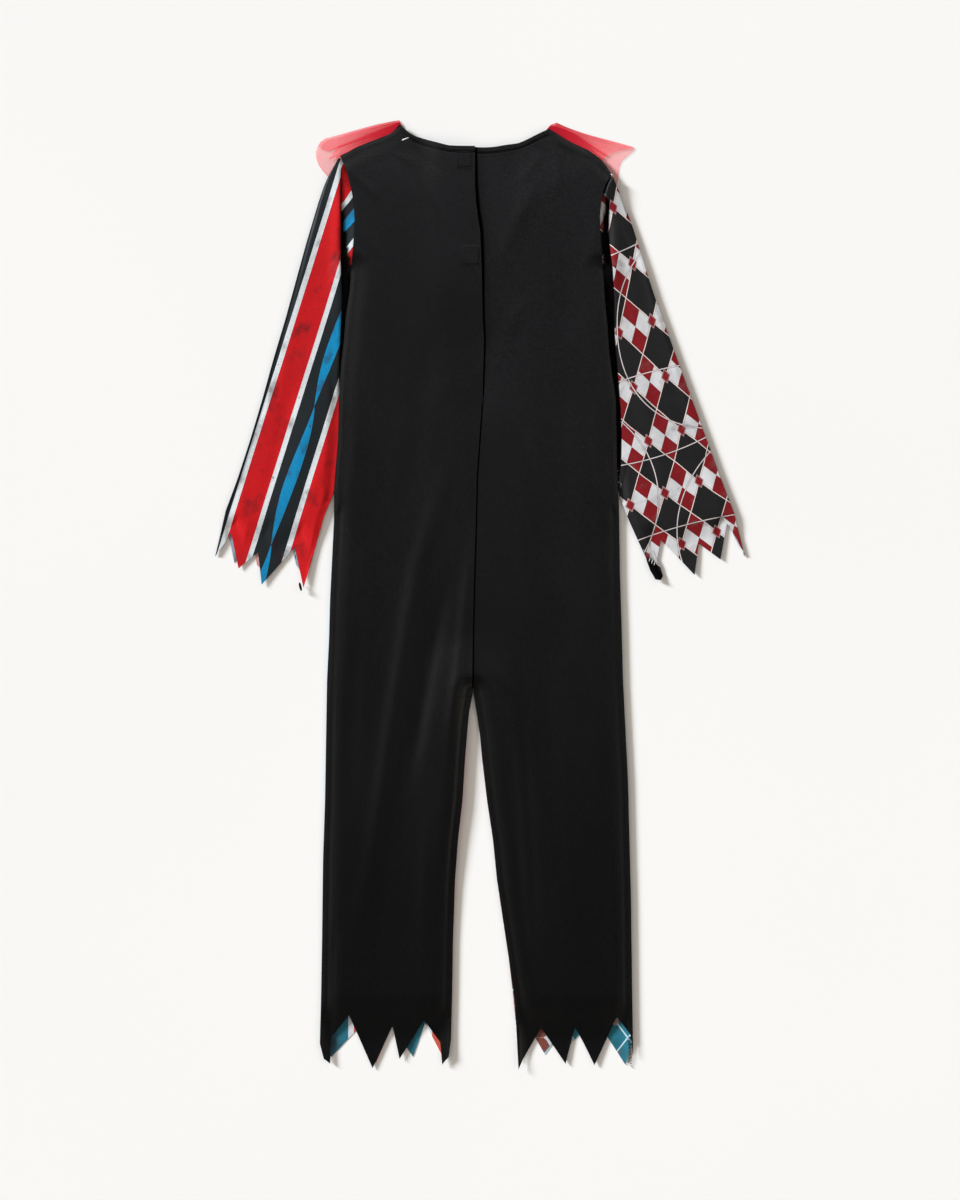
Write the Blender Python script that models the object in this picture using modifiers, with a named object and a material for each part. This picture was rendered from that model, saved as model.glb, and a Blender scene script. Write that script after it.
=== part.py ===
"""Child's one-piece clown costume laid out face down on a table.

Two black backs with an overlapping centre opening lie on two fronts.
Two tube sleeves hang from the armholes, and a gathered net ruffle that is
sewn round the front neckline lies under the shoulders and shows past them.
Units inside the tables are millimetres: x across, y towards the neck,
z up from the table.
"""

import math

import bmesh
import bpy
from mathutils import Vector
from mathutils.bvhtree import BVHTree

MM = 0.001

# Cloth and seams
CLOTH = 1.0
SEAM = 0.3
LOFT_GAP = 2.6  # air between a front and the back that lies on it
LEAST_GAP = 0.6
MOST_GAP = 3.6
EDGE_ROUND = 14.0  # how far from a seam the two layers part

# What lifts the fronts off the table
RUFFLE_RISE = 2.6  # height of the pressed ruffle and the gap over it
TUCK_RISE = 2.9  # height of a sleeve that is tucked under the side
SIDE_CURL = 1.9
INNER_CURL = 1.6

# Neck and ruffle
NECK_X = -6.0
NECK_Y = 563.0
NECK_HALF_WIDTH = 91.0
NECK_DEPTH = 85.0
RUFFLE_LENGTH = 100.0
RUFFLE_WAVES = 12
RUFFLE_WAVE_HEIGHT = 0.45

# Fastening squares
TAPE = 20.0
TAPE_THICK = 0.7

# Side edges of the body, from the shoulder tip to the hem
LEFT_SIDE = [
    # y, x
    (526.8, -168.0),
    (512.0, -161.0),
    (477.6, -152.4),
    (448.0, -150.0),
    (418.0, -152.2),
    (390.0, -154.8),
    (367.0, -156.0),
    (337.0, -160.8),
    (307.0, -163.2),
    (277.0, -166.8),
    (234.0, -169.2),
    (186.0, -170.4),
    (152.0, -173.4),
    (128.0, -175.2),
    (90.0, -175.2),
    (42.0, -177.6),
    (-6.0, -180.0),
    (-54.0, -181.2),
    (-102.0, -183.6),
    (-174.0, -184.8),
    (-246.0, -186.0),
    (-318.0, -188.4),
    (-414.0, -189.6),
    (-486.0, -190.8),
    (-570.0, -193.4),
]
RIGHT_SIDE = [
    # y, x
    (504.0, 158.4),
    (495.6, 151.2),
    (480.0, 146.6),
    (457.0, 143.6),
    (425.0, 144.6),
    (390.0, 147.6),
    (353.0, 150.0),
    (324.0, 153.0),
    (295.0, 154.8),
    (266.0, 158.4),
    (234.0, 163.2),
    (157.0, 164.4),
    (107.0, 166.8),
    (24.0, 168.0),
    (-54.0, 170.4),
    (-102.0, 171.6),
    (-126.0, 172.8),
    (-174.0, 175.2),
    (-222.0, 177.6),
    (-270.0, 178.8),
    (-366.0, 181.2),
    (-462.0, 182.4),
    (-540.0, 183.6),
    (-570.0, 183.8),
]
# Centre back: the edge of the overlapping left back, then the sewn seam
BACK_OPENING = [
    # y, x
    (538.2, -6.0),
    (489.6, -6.0),
    (471.6, -4.8),
    (452.4, -2.4),
    (438.0, 0.0),
    (414.0, 1.2),
    (378.0, 2.4),
    (336.0, 3.0),
    (307.0, 4.8),
    (264.0, 3.6),
    (234.0, 3.2),
    (210.0, 1.8),
    (144.0, -3.0),
    (66.0, -4.8),
    (6.0, -6.6),
    (-50.4, -7.7),
    (-104.4, -8.4),
    (-117.0, -8.6),
]
# Edge of the right back where it is hidden under the left one
UNDERLAP = [
    # y, x
    (538.0, -34.0),
    (400.0, -28.0),
    (300.0, -21.0),
    (262.0, -15.0),
    (248.0, -6.0),
    (237.0, 3.8),
    (210.0, 2.1),
]
CENTRE_FRONT = [
    # y, x
    (478.0, -6.0),
    (-117.0, -8.2),
]
CROTCH_Y = -117.0
LEFT_INSEAM = [
    # y, x
    (-117.0, -9.0),
    (-142.0, -13.2),
    (-169.0, -15.6),
    (-197.0, -18.0),
    (-246.0, -21.0),
    (-294.0, -26.4),
    (-342.0, -30.0),
    (-414.0, -32.4),
    (-486.0, -33.6),
    (-570.0, -35.6),
]
RIGHT_INSEAM = [
    # y, x
    (-117.0, -7.8),
    (-142.0, -4.0),
    (-169.0, 0.0),
    (-197.0, 2.6),
    (-246.0, 8.4),
    (-294.0, 15.6),
    (-342.0, 20.4),
    (-390.0, 27.6),
    (-438.0, 34.8),
    (-486.0, 41.6),
    (-518.0, 44.4),
    (-570.0, 45.8),
]
LEFT_SHOULDER = [
    # x, y
    (-168.0, 526.8),
    (-158.4, 531.6),
    (-147.6, 537.6),
    (-133.2, 543.6),
    (-120.0, 548.4),
    (-105.6, 555.0),
    (-96.0, 563.0),
]
RIGHT_SHOULDER = [
    # x, y
    (83.0, 559.0),
    (104.4, 546.0),
    (118.8, 538.8),
    (133.2, 531.6),
    (148.0, 519.0),
    (158.4, 504.0),
]

# Columns of a panel: where each starts, where it meets the hem, and how high
# the hem stands off there. Teeth and notches of the hem have a column each.
BACK_LEFT_COLUMNS = [
    # top_x, top_y, hem_x, hem_y, hem_lift, share_at_chest
    (-168.0, 526.8, -192.2, -538.0, 0.3, 0.0),
    (-158.4, 531.6, -187.5, -556.5, 1.6, 0.06),
    (-147.6, 537.6, -180.0, -562.3, 2.6, 0.126),
    (-141.0, 540.3, -178.0, -530.0, 1.0, 0.17),
    (-133.2, 543.6, -157.2, -504.0, 0.4, 0.215),
    (-120.0, 548.4, -129.0, -568.1, 0.8, 0.296),
    (-105.6, 555.0, -117.0, -543.0, 0.6, 0.385),
    (-96.0, 563.0, -105.0, -517.2, 0.3, 0.444),
    (-82.8, 553.2, -96.6, -556.8, 2.0, 0.526),
    (-67.2, 547.2, -82.0, -534.0, 0.8, 0.622),
    (-50.4, 542.4, -67.2, -510.0, 0.3, 0.726),
    (-38.0, 539.2, -47.8, -537.0, 0.8, 0.8),
    (-27.0, 538.5, -45.4, -563.5, 3.0, 0.87),
    (-16.0, 538.3, -37.6, -554.0, 1.6, 0.935),
    (-6.0, 538.2, -34.8, -533.0, 0.2, 1.0),
]
BACK_RIGHT_COLUMNS = [
    # top_x, top_y, hem_x, hem_y, hem_lift, share_at_chest
    (-34.0, 538.6, 46.2, -569.0, 2.6, 0.0),
    (-16.0, 538.2, 51.6, -557.4, 1.2, 0.094),
    (2.0, 537.0, 62.0, -539.0, 0.5, 0.187),
    (16.8, 537.6, 73.2, -519.6, 0.3, 0.264),
    (31.2, 540.0, 88.0, -541.0, 0.6, 0.339),
    (46.2, 542.4, 102.7, -562.8, 1.4, 0.417),
    (57.6, 547.2, 114.0, -518.4, 0.3, 0.476),
    (69.6, 553.2, 126.0, -541.0, 0.6, 0.538),
    (83.0, 559.0, 137.4, -564.4, 1.6, 0.608),
    (104.4, 546.0, 151.0, -535.0, 0.6, 0.719),
    (118.8, 538.8, 164.0, -505.8, 0.4, 0.794),
    (133.2, 531.6, 174.0, -519.0, 0.3, 0.869),
    (148.0, 519.0, 180.6, -528.0, 0.2, 0.946),
    (158.4, 504.0, 183.8, -553.0, 0.1, 1.0),
]
FRONT_LEFT_COLUMNS = [
    # top_x, top_y, hem_x, hem_y, hem_lift, share_at_chest
    (-168.0, 526.8, -191.0, -535.0, 0.0, 0.0),
    (-158.4, 531.6, -186.0, -546.0, 0.0, 0.05),
    (-147.6, 537.6, -178.5, -555.0, 0.0, 0.11),
    (-133.2, 543.6, -163.0, -538.0, 0.0, 0.17),
    (-120.0, 548.4, -148.0, -522.0, 0.0, 0.23),
    (-105.6, 555.0, -136.0, -543.0, 0.0, 0.29),
    (-96.0, 563.0, -125.0, -562.0, 0.0, 0.36),
    (-93.0, 535.0, -106.0, -518.0, 0.0, 0.46),
    (-82.0, 510.0, -80.4, -554.4, 0.0, 0.56),
    (-62.0, 491.0, -66.0, -514.0, 0.0, 0.67),
    (-42.0, 482.0, -55.0, -535.0, 0.0, 0.78),
    (-23.0, 478.6, -44.0, -556.0, 0.0, 0.89),
    (-6.0, 478.0, -35.4, -531.0, 0.0, 1.0),
]
FRONT_RIGHT_COLUMNS = [
    # top_x, top_y, hem_x, hem_y, hem_lift, share_at_chest
    (-6.0, 478.0, 47.4, -560.0, 0.0, 0.0),
    (11.0, 478.6, 54.0, -541.0, 0.0, 0.11),
    (30.0, 482.0, 61.0, -522.0, 0.0, 0.22),
    (50.0, 491.0, 78.0, -552.0, 0.0, 0.33),
    (69.0, 509.0, 91.0, -534.0, 0.0, 0.44),
    (80.0, 533.0, 103.0, -517.0, 0.0, 0.54),
    (83.0, 559.0, 116.0, -536.0, 0.0, 0.64),
    (104.4, 546.0, 130.0, -555.0, 0.0, 0.72),
    (118.8, 538.8, 147.6, -522.0, 0.0, 0.79),
    (133.2, 531.6, 161.0, -543.0, 0.0, 0.86),
    (148.0, 519.0, 174.5, -564.0, 0.0, 0.93),
    (158.4, 504.0, 182.4, -537.0, 0.0, 1.0),
]

# Rows below the armhole, shared by the fronts and backs of a side
LEFT_ROWS = [
    367, 337, 307, 277, 248, 234, 210, 186, 152, 128, 90, 42, -6, -54, -102,
    -117, -142, -174, -210, -246, -294, -342, -414, -460, -490,
]
RIGHT_ROWS = [
    353, 324, 295, 266, 248, 237, 210, 180, 157, 132, 107, 66, 24, -16, -54,
    -102, -117, -142, -174, -222, -270, -318, -366, -414, -462, -490,
]

# Soft folds of the backs: a straight ridge or trough each
BACK_FOLDS = [
    # from_x, from_y, to_x, to_y, height, half_width
    (-18, 210, -72, 54, 0.7, 14),
    (-72, 54, -102, -126, 0.8, 15),
    (-102, -126, -138, -366, 0.8, 14),
    (-138, -366, -162, -456, 0.6, 12),
    (-10, 54, -26, -96, 0.5, 10),
    (-26, -96, -38, -190, 0.5, 9),
    (-48, -6, -70, -126, -0.9, 12),
    (-70, -126, -88, -246, -0.8, 12),
    (-150, -66, -156, -246, -0.7, 12),
    (48, -126, 54, -246, -0.9, 14),
    (54, -246, 58, -410, -0.9, 17),
    (96, -126, 114, -366, 0.6, 22),
    (-158, 516, -120, 476, 0.7, 8),
    (18, 438, 66, 492, 0.5, 11),
    (12, 282, 42, 336, 0.5, 11),
    (120, 470, 132, 300, 0.5, 14),
]
SLEEVE_FOLDS = [
    # from_x, from_y, to_x, to_y, height, half_width
    (-159, 500, -160, 392, -2.2, 6),
    (-170, 480, -172, 330, 0.9, 8),
    (-200, 420, -262, 190, 0.5, 14),
    (-225, 250, -262, 96, -0.6, 12),
    (-196, 236, -228, 110, 0.5, 12),
    (150, 470, 154, 380, -2.2, 6),
    (162, 470, 164, 330, 0.8, 8),
    (176, 470, 205, 330, -0.5, 10),
    (205, 380, 262, 200, 0.5, 14),
    (190, 250, 226, 120, 0.5, 12),
]

# Outer and underarm edges of the sleeves, from the armhole to the hem
SLEEVE_LEFT_OUTER = [
    # x, y
    (-168.4, 526.6),
    (-184.8, 498.0),
    (-193.2, 474.0),
    (-207.6, 426.0),
    (-220.8, 378.0),
    (-234.0, 330.0),
    (-248.4, 282.0),
    (-261.6, 234.0),
    (-276.0, 186.0),
    (-291.6, 138.0),
    (-307.8, 94.8),
    (-318.0, 46.8),
]
SLEEVE_LEFT_INNER = [
    # x, y
    (-155.2, 390.0),
    (-158.6, 372.0),
    (-160.6, 350.0),
    (-158.4, 322.0),
    (-156.5, 290.0),
    (-159.0, 240.0),
    (-164.5, 185.0),
    (-175.4, 122.4),
    (-186.5, 96.0),
    (-196.8, 64.8),
    (-202.8, 38.4),
]
SLEEVE_RIGHT_OUTER = [
    # x, y
    (158.8, 503.8),
    (170.4, 476.4),
    (183.6, 441.6),
    (195.6, 402.0),
    (210.0, 357.6),
    (225.6, 314.4),
    (243.0, 266.4),
    (265.2, 205.8),
    (286.8, 146.4),
    (308.4, 90.0),
    (318.0, 46.8),
]
SLEEVE_RIGHT_INNER = [
    # x, y
    (148.0, 390.0),
    (151.6, 371.0),
    (152.8, 350.0),
    (149.6, 322.0),
    (147.6, 290.0),
    (151.5, 240.0),
    (157.0, 180.0),
    (167.4, 118.8),
    (180.0, 86.4),
    (194.4, 56.4),
    (201.6, 39.6),
]
# Columns across a sleeve's upper layer and where each meets the hem
SLEEVE_LEFT_TOP = [
    # share, hem_x, hem_y, hem_lift
    (0.05, -306.0, 63.0, 0.4),
    (0.14, -298.8, 74.4, 0.3),
    (0.25, -289.9, 31.9, 1.2),
    (0.37, -278.0, 42.0, 0.5),
    (0.48, -266.4, 51.6, 0.3),
    (0.57, -262.1, 12.6, 2.0),
    (0.68, -242.0, 35.0, 0.6),
    (0.82, -222.5, 57.6, 0.3),
    (0.93, -211.9, 9.0, 3.0),
]
SLEEVE_LEFT_UNDER = [
    # share, hem_x, hem_y, hem_lift
    (0.93, -209.0, 30.0, 0.0),
    (0.78, -221.0, 55.0, 0.0),
    (0.60, -247.0, 22.0, 0.0),
    (0.44, -264.5, 45.0, 0.0),
    (0.28, -281.0, 30.0, 0.0),
    (0.10, -301.0, 62.0, 0.0),
]
SLEEVE_RIGHT_TOP = [
    # share, hem_x, hem_y, hem_lift
    (0.06, 305.0, 70.0, 0.4),
    (0.15, 296.4, 86.4, 0.3),
    (0.26, 288.7, 42.6, 1.4),
    (0.38, 276.0, 52.0, 0.5),
    (0.49, 262.8, 61.9, 0.3),
    (0.60, 257.6, 24.0, 1.8),
    (0.71, 237.0, 46.0, 0.6),
    (0.83, 217.2, 66.0, 0.3),
    (0.94, 210.0, 19.2, 2.6),
]
SLEEVE_RIGHT_UNDER = [
    # share, hem_x, hem_y, hem_lift
    (0.93, 207.0, 34.0, 0.0),
    (0.78, 219.0, 62.0, 0.0),
    (0.60, 244.0, 34.0, 0.0),
    (0.44, 261.0, 56.0, 0.0),
    (0.28, 280.0, 50.0, 0.0),
    (0.10, 300.0, 76.0, 0.0),
]
SLEEVE_RINGS = [0.0, 0.03, 0.065, 0.11, 0.17, 0.24, 0.32, 0.41, 0.5, 0.6, 0.7, 0.8, 0.89]

# The ruffle: ends of its gathered edge and of its free edge at the shoulder
RUFFLE_LEFT_END = [
    # inner_x, inner_y, outer_x, outer_y
    (-98.0, 569.0, -194.0, 545.0),
    (-97.5, 566.5, -198.4, 538.0),
    (-97.2, 563.5, -196.0, 524.0),
    (-96.8, 559.0, -190.0, 510.0),
]
RUFFLE_RIGHT_END = [
    # inner_x, inner_y, outer_x, outer_y
    (84.4, 566.5, 172.0, 543.5),
    (84.8, 563.5, 187.0, 535.0),
    (85.0, 560.5, 176.0, 526.0),
    (84.9, 556.0, 168.0, 513.0),
]


def smooth(value):
    """0 below 0, 1 above 1 and a soft step between."""
    value = min(1.0, max(0.0, value))
    return value * value * (3.0 - 2.0 * value)


def along(table, key, key_column=0, value_column=1):
    """Value of a table at a key between its rows, held past its ends."""
    rows = sorted(table, key=lambda row: row[key_column])
    if key <= rows[0][key_column]:
        return rows[0][value_column]
    for low, high in zip(rows, rows[1:]):
        if key <= high[key_column]:
            share = (key - low[key_column]) / (high[key_column] - low[key_column])
            return low[value_column] + share * (high[value_column] - low[value_column])
    return rows[-1][value_column]


def on_path(path, share):
    """Point at a share of the length of a polyline of (x, y)."""
    lengths = [math.dist(a, b) for a, b in zip(path, path[1:])]
    left = share * sum(lengths)
    for length, a, b in zip(lengths, path, path[1:]):
        if left <= length:
            part = left / length
            return (a[0] + part * (b[0] - a[0]), a[1] + part * (b[1] - a[1]))
        left -= length
    return path[-1]


def ridge(x, y, folds):
    """Sum of the soft ridges and troughs at a point."""
    total = 0.0
    for from_x, from_y, to_x, to_y, height, half_width in folds:
        run_x, run_y = to_x - from_x, to_y - from_y
        length = math.hypot(run_x, run_y)
        part = ((x - from_x) * run_x + (y - from_y) * run_y) / length**2
        near = min(1.0, max(0.0, part))
        away = math.hypot(x - from_x - near * run_x, y - from_y - near * run_y)
        total += height * math.exp(-((away / half_width) ** 2))
    return total


def side_x(x, y):
    """X of the side edge on the same side as a point."""
    return along(LEFT_SIDE, y) if x < NECK_X else along(RIGHT_SIDE, y)


def inside_side(x, y):
    """Distance from a point in to its side edge, less than 0 outside it."""
    return x - side_x(x, y) if x < NECK_X else side_x(x, y) - x


def over_ruffle(x, y):
    """1 over the ruffle, falling to 0 past its free edge."""
    return 1.0 - smooth((math.hypot(x - NECK_X, y - NECK_Y) - 200.0) / 30.0)


def front_under(x, y, on_left):
    """Height of a front's underside."""
    side = along(LEFT_SIDE, y) if on_left else along(RIGHT_SIDE, y)
    inside = x - side if on_left else side - x
    flat = 16.0 * smooth((y - 95.0) / 30.0)
    rise = SIDE_CURL + (TUCK_RISE - SIDE_CURL) * smooth((y - 80.0) / 40.0)
    at_side = 1.0 - smooth((inside - flat) / 14.0)
    inner = along(LEFT_INSEAM if on_left else RIGHT_INSEAM, y)
    off_inner = inner - x if on_left else x - inner
    at_inner = 1.0 - smooth(math.hypot(max(0.0, off_inner), max(0.0, y - CROTCH_Y)) / 13.0)
    ruffle = over_ruffle(x, y)
    return max(RUFFLE_RISE * ruffle, rise * at_side, INNER_CURL * at_inner) + 0.3 * ruffle * at_side


def seam_distance(x, y, on_left):
    """Distance to the nearest seam that joins a front to a back."""
    side = along(LEFT_SIDE, y) if on_left else along(RIGHT_SIDE, y)
    to_side = math.hypot(x - side, max(0.0, y - 390.0))
    inner = along(LEFT_INSEAM if on_left else RIGHT_INSEAM, y)
    to_inner = math.hypot(x - inner, max(0.0, y - CROTCH_Y))
    shoulder = LEFT_SHOULDER if on_left else RIGHT_SHOULDER
    past_neck = max(0.0, x + 96.0) if on_left else max(0.0, 83.0 - x)
    to_shoulder = math.hypot(along(shoulder, x) - y, past_neck)
    return min(to_side, to_inner, to_shoulder)


def gap(x, y, on_left):
    """Air between a front and the back over it."""
    open_gap = LOFT_GAP + ridge(x, y, BACK_FOLDS)
    if on_left:
        # The flap stands over the hook-and-loop squares and the other back.
        open_gap += 1.3 * smooth((x + 62.0) / 24.0) * smooth((y - 330.0) / 50.0)
        open_gap += 0.4 * smooth((x + 40.0) / 20.0) * smooth((y - 226.0) / 20.0)
    else:
        under_flap = smooth((y - 212.0) / 22.0)
        under_flap *= 1.0 - smooth((x - along(BACK_OPENING, y) - 3.0) / 16.0)
        open_gap += (0.5 - open_gap) * under_flap
        if under_flap > 0.5:
            return open_gap
    open_gap = min(MOST_GAP + 0.3, max(LEAST_GAP, open_gap))
    return SEAM + (open_gap - SEAM) * smooth(seam_distance(x, y, on_left) / EDGE_ROUND)


def back_under(x, y, on_left):
    """Height of a back's underside."""
    return front_under(x, y, on_left) + CLOTH + gap(x, y, on_left)


def back_top(x, y, on_left):
    return back_under(x, y, on_left) + CLOTH


def panel_rows(columns, left_edge, right_edge, arm_edge, rows, on_left, height):
    """Points of a panel: rows that fan out of its top edge, then level rows, then the hem."""
    first, last = columns[0], columns[-1]
    join = 390.0
    arm_top = arm_edge[0][0]
    levels = [y for y, _ in arm_edge if y >= join]
    count = len(levels) + len(rows)
    found = []
    for number in range(count + 1):
        line = []
        share = max(0, number - len(levels) + 1) / (len(rows) + 1)
        for column in columns:
            hem_share = (column[2] - first[2]) / (last[2] - first[2])
            across = column[5] + share * (hem_share - column[5])
            if number == 0:
                x, y = column[0], column[1]
            elif number == count:
                x, y = column[2], column[3]
            elif number < len(levels):
                down = (arm_top - levels[number]) / (arm_top - join)
                y = column[1] + down * (join - column[1])
                low_y = first[1] + down * (join - first[1])
                high_y = last[1] + down * (join - last[1])
                low_join, high_join = along(left_edge, join), along(right_edge, join)
                x_join = low_join + across * (high_join - low_join)
                x = column[0] + down * (x_join - column[0])
                off_low = along(left_edge, low_y) - (first[0] + down * (low_join - first[0]))
                off_high = along(right_edge, high_y) - (last[0] + down * (high_join - last[0]))
                x += max(0.0, 1.0 - 2.2 * across) * off_low
                x += max(0.0, 2.2 * across - 1.2) * off_high
            else:
                y = float(rows[number - len(levels)])
                low, high = along(left_edge, y), along(right_edge, y)
                x = low + across * (high - low)
            z = height(x, y, on_left)
            if number == count:
                z += column[4]
            line.append((x, y, z))
        found.append(line)
    return found


def material(name, colour, roughness, alpha=1.0):
    made = bpy.data.materials.new(name)
    made.use_nodes = True
    shader = made.node_tree.nodes["Principled BSDF"]
    shader.inputs["Base Color"].default_value = (*colour, 1.0)
    shader.inputs["Roughness"].default_value = roughness
    shader.inputs["Metallic"].default_value = 0.0
    shader.inputs["Alpha"].default_value = alpha
    return made


def skin(name, lines, look, collection, thickness, offset, closed=False):
    """Open surface through lines of points, thickened into a wall of cloth."""
    mesh = bpy.data.meshes.new(name)
    made = bmesh.new()
    grid = [[made.verts.new([c * MM for c in point]) for point in line] for line in lines]
    for upper, lower in zip(grid, grid[1:]):
        pairs = list(zip(upper, upper[1:], lower, lower[1:]))
        if closed:
            pairs.append((upper[-1], upper[0], lower[-1], lower[0]))
        for a, b, c, d in pairs:
            made.faces.new((c, d, b, a))
    bmesh.ops.triangulate(made, faces=made.faces[:], quad_method="SHORT_EDGE")
    made.to_mesh(mesh)
    made.free()
    mesh.materials.append(look)
    piece = bpy.data.objects.new(name, mesh)
    collection.objects.link(piece)
    wall = piece.modifiers.new("wall", "SOLIDIFY")
    wall.thickness = thickness * MM
    wall.offset = offset
    wall.use_even_offset = False
    wall.use_quality_normals = True
    return piece


def armhole_line(edge, share):
    """Point on the armhole at a share of its length."""
    path = [(x, y) for y, x in edge if y >= 390.0]
    return on_path(path, share)


def sleeve_rings(outer, inner, arm_edge, top_columns, under_columns, on_left):
    """Rings of a flattened tube, from the armhole to the teeth of its hem."""
    side = -1.0 if on_left else 1.0
    shares = [0.0] + [c[0] for c in top_columns] + [1.0] + [c[0] for c in under_columns]
    upper_count = len(top_columns)

    def plan(ring, across):
        begin = on_path(outer, ring)
        end = on_path(inner, ring)
        first, last = arm_edge[0], [e for e in arm_edge if e[0] >= 390.0][-1]
        arm = armhole_line(arm_edge, across)
        chord = (
            first[1] + across * (last[1] - first[1]),
            first[0] + across * (last[0] - first[0]),
        )
        fade = max(0.0, 1.0 - ring / 0.28)
        x = begin[0] + across * (end[0] - begin[0]) + fade * (arm[0] - chord[0])
        y = begin[1] + across * (end[1] - begin[1]) + fade * (arm[1] - chord[1])
        return x, y

    def heights(x, y, ring, across):
        """Undersides of the lower layer and tops of the upper one."""
        start_x, start_y = armhole_line(arm_edge, across)
        reach = 14.0 + 16.0 * smooth((across - 0.75) / 0.2)
        near = 1.0 - smooth(math.dist((x, y), (start_x, start_y)) / reach)
        ruffle = RUFFLE_RISE * over_ruffle(x, y)
        edge = min(across, 1.0 - across) * 100.0
        curl = 0.9 * (1.0 - smooth(edge / 9.0)) if across < 0.5 or y < 110.0 else 0.0
        low = max(ruffle, curl)
        low = low + near * (front_under(start_x, start_y, on_left) - low)
        outward = -inside_side(x, y)
        clear = smooth((outward - 1.0) / 14.0) if y < 405.0 else 1.0
        if y < 405.0:
            clear = max(clear, smooth((y - 385.0) / 20.0))
        if y < 124.0:
            clear = max(clear, smooth((124.0 - y) / 20.0))
        loft = 2.6 + ridge(x, y, SLEEVE_FOLDS)
        loft = min(MOST_GAP, max(0.5, loft))
        width = smooth(edge / 9.0)
        least = 0.5 + 0.9 * smooth((0.3 - across) / 0.2)
        between = least + (loft - least) * width * clear
        high = low + 2.0 * CLOTH + between
        high = high + near * (back_top(start_x, start_y, on_left) - high)
        return low, max(high, low + 2.0 * CLOTH + 0.3 + 0.7 * near)

    rings = []
    for ring in SLEEVE_RINGS:
        line = []
        for number, across in enumerate(shares):
            x, y = plan(ring, across)
            if ring == 0.0:
                x += side * 0.6
            low, high = heights(x, y, ring, across)
            if number == 0 or number == upper_count + 1:
                z = 0.5 * (low + high)
            elif number <= upper_count:
                z = high
            else:
                z = low
            line.append((x, y, z))
        rings.append(line)
    hem = []
    for number, across in enumerate(shares):
        if number == 0:
            (x, y), lift = outer[-1], 0.2
        elif number == upper_count + 1:
            (x, y), lift = inner[-1], 0.2
        elif number <= upper_count:
            _, x, y, lift = top_columns[number - 1]
        else:
            _, x, y, lift = under_columns[number - upper_count - 2]
        low, high = heights(x, y, 1.0, across)
        if number == 0 or number == upper_count + 1:
            z = 0.5 * (low + high)
        elif number <= upper_count:
            z = high
        else:
            z = low
        hem.append((x, y, z + lift))
    rings.append(hem)
    return rings if on_left else [line[::-1] for line in rings]


def ruffle_lines(end, on_left):
    """Gathered strip from the shoulder round to the centre front, waved along its length."""
    side = -1.0 if on_left else 1.0
    steps = RUFFLE_WAVES * 4
    lines = [[], [], [], []]
    start = math.atan2(end[-1][1] - NECK_Y, side * (end[-1][0] - NECK_X))
    for step in range(steps + 1):
        if step < len(end):
            inner_x, inner_y, outer_x, outer_y = end[step]
        else:
            share = (step - len(end) + 1) / (steps - len(end) + 1)
            angle = start + share * (-0.5 * math.pi - start)
            angle_out = math.atan2(end[-1][3] - NECK_Y, side * (end[-1][2] - NECK_X))
            angle_out += share * (-0.5 * math.pi - angle_out)
            inner_x = NECK_X + side * (NECK_HALF_WIDTH + 0.5) * math.cos(angle)
            inner_y = NECK_Y + NECK_DEPTH * math.sin(angle)
            reach_x = abs(end[-1][2] - NECK_X) / max(0.2, math.cos(angle_out - angle_out * share))
            reach_x = reach_x + share * (NECK_HALF_WIDTH + RUFFLE_LENGTH - reach_x)
            outer_x = NECK_X + side * reach_x * math.cos(angle_out)
            reach_y = NECK_DEPTH + RUFFLE_LENGTH
            outer_y = NECK_Y + reach_y * math.sin(angle_out)
            if share > 0.999:
                inner_x = outer_x = NECK_X + side * 0.2
        wave = 0.5 - 0.5 * math.cos(step / 4.0 * 2.0 * math.pi)
        free = 0.5 + 0.5 * math.sin(step * 0.61)
        for number, part in enumerate((0.0, 0.33, 0.67, 1.0)):
            height = RUFFLE_WAVE_HEIGHT * 2.0 * (0.6 + 0.4 * part) * wave
            if step < len(end):
                height *= 1.0 + part * free
            x = inner_x + part * (outer_x - inner_x)
            y = inner_y + part * (outer_y - inner_y)
            lines[number].append((x, y, height))
    return lines if on_left else [line[::-1] for line in lines]


def tape_square(name, centre, below, lift, look, collection):
    """Square of tape that follows the cloth under it."""
    mesh = bpy.data.meshes.new(name)
    made = bmesh.new()
    bmesh.ops.create_grid(made, x_segments=3, y_segments=3, size=0.5 * TAPE * MM)
    tree, extra = below
    for vert in made.verts:
        vert.co.x += centre[0] * MM
        vert.co.y += centre[1] * MM
        hit = tree.ray_cast(Vector((vert.co.x, vert.co.y, 0.1)), Vector((0.0, 0.0, -1.0)))[0]
        vert.co.z = hit.z + (extra + lift) * MM
    made.to_mesh(mesh)
    made.free()
    mesh.materials.append(look)
    piece = bpy.data.objects.new(name, mesh)
    collection.objects.link(piece)
    wall = piece.modifiers.new("wall", "SOLIDIFY")
    wall.thickness = TAPE_THICK * MM
    wall.offset = 1.0
    return piece


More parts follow.
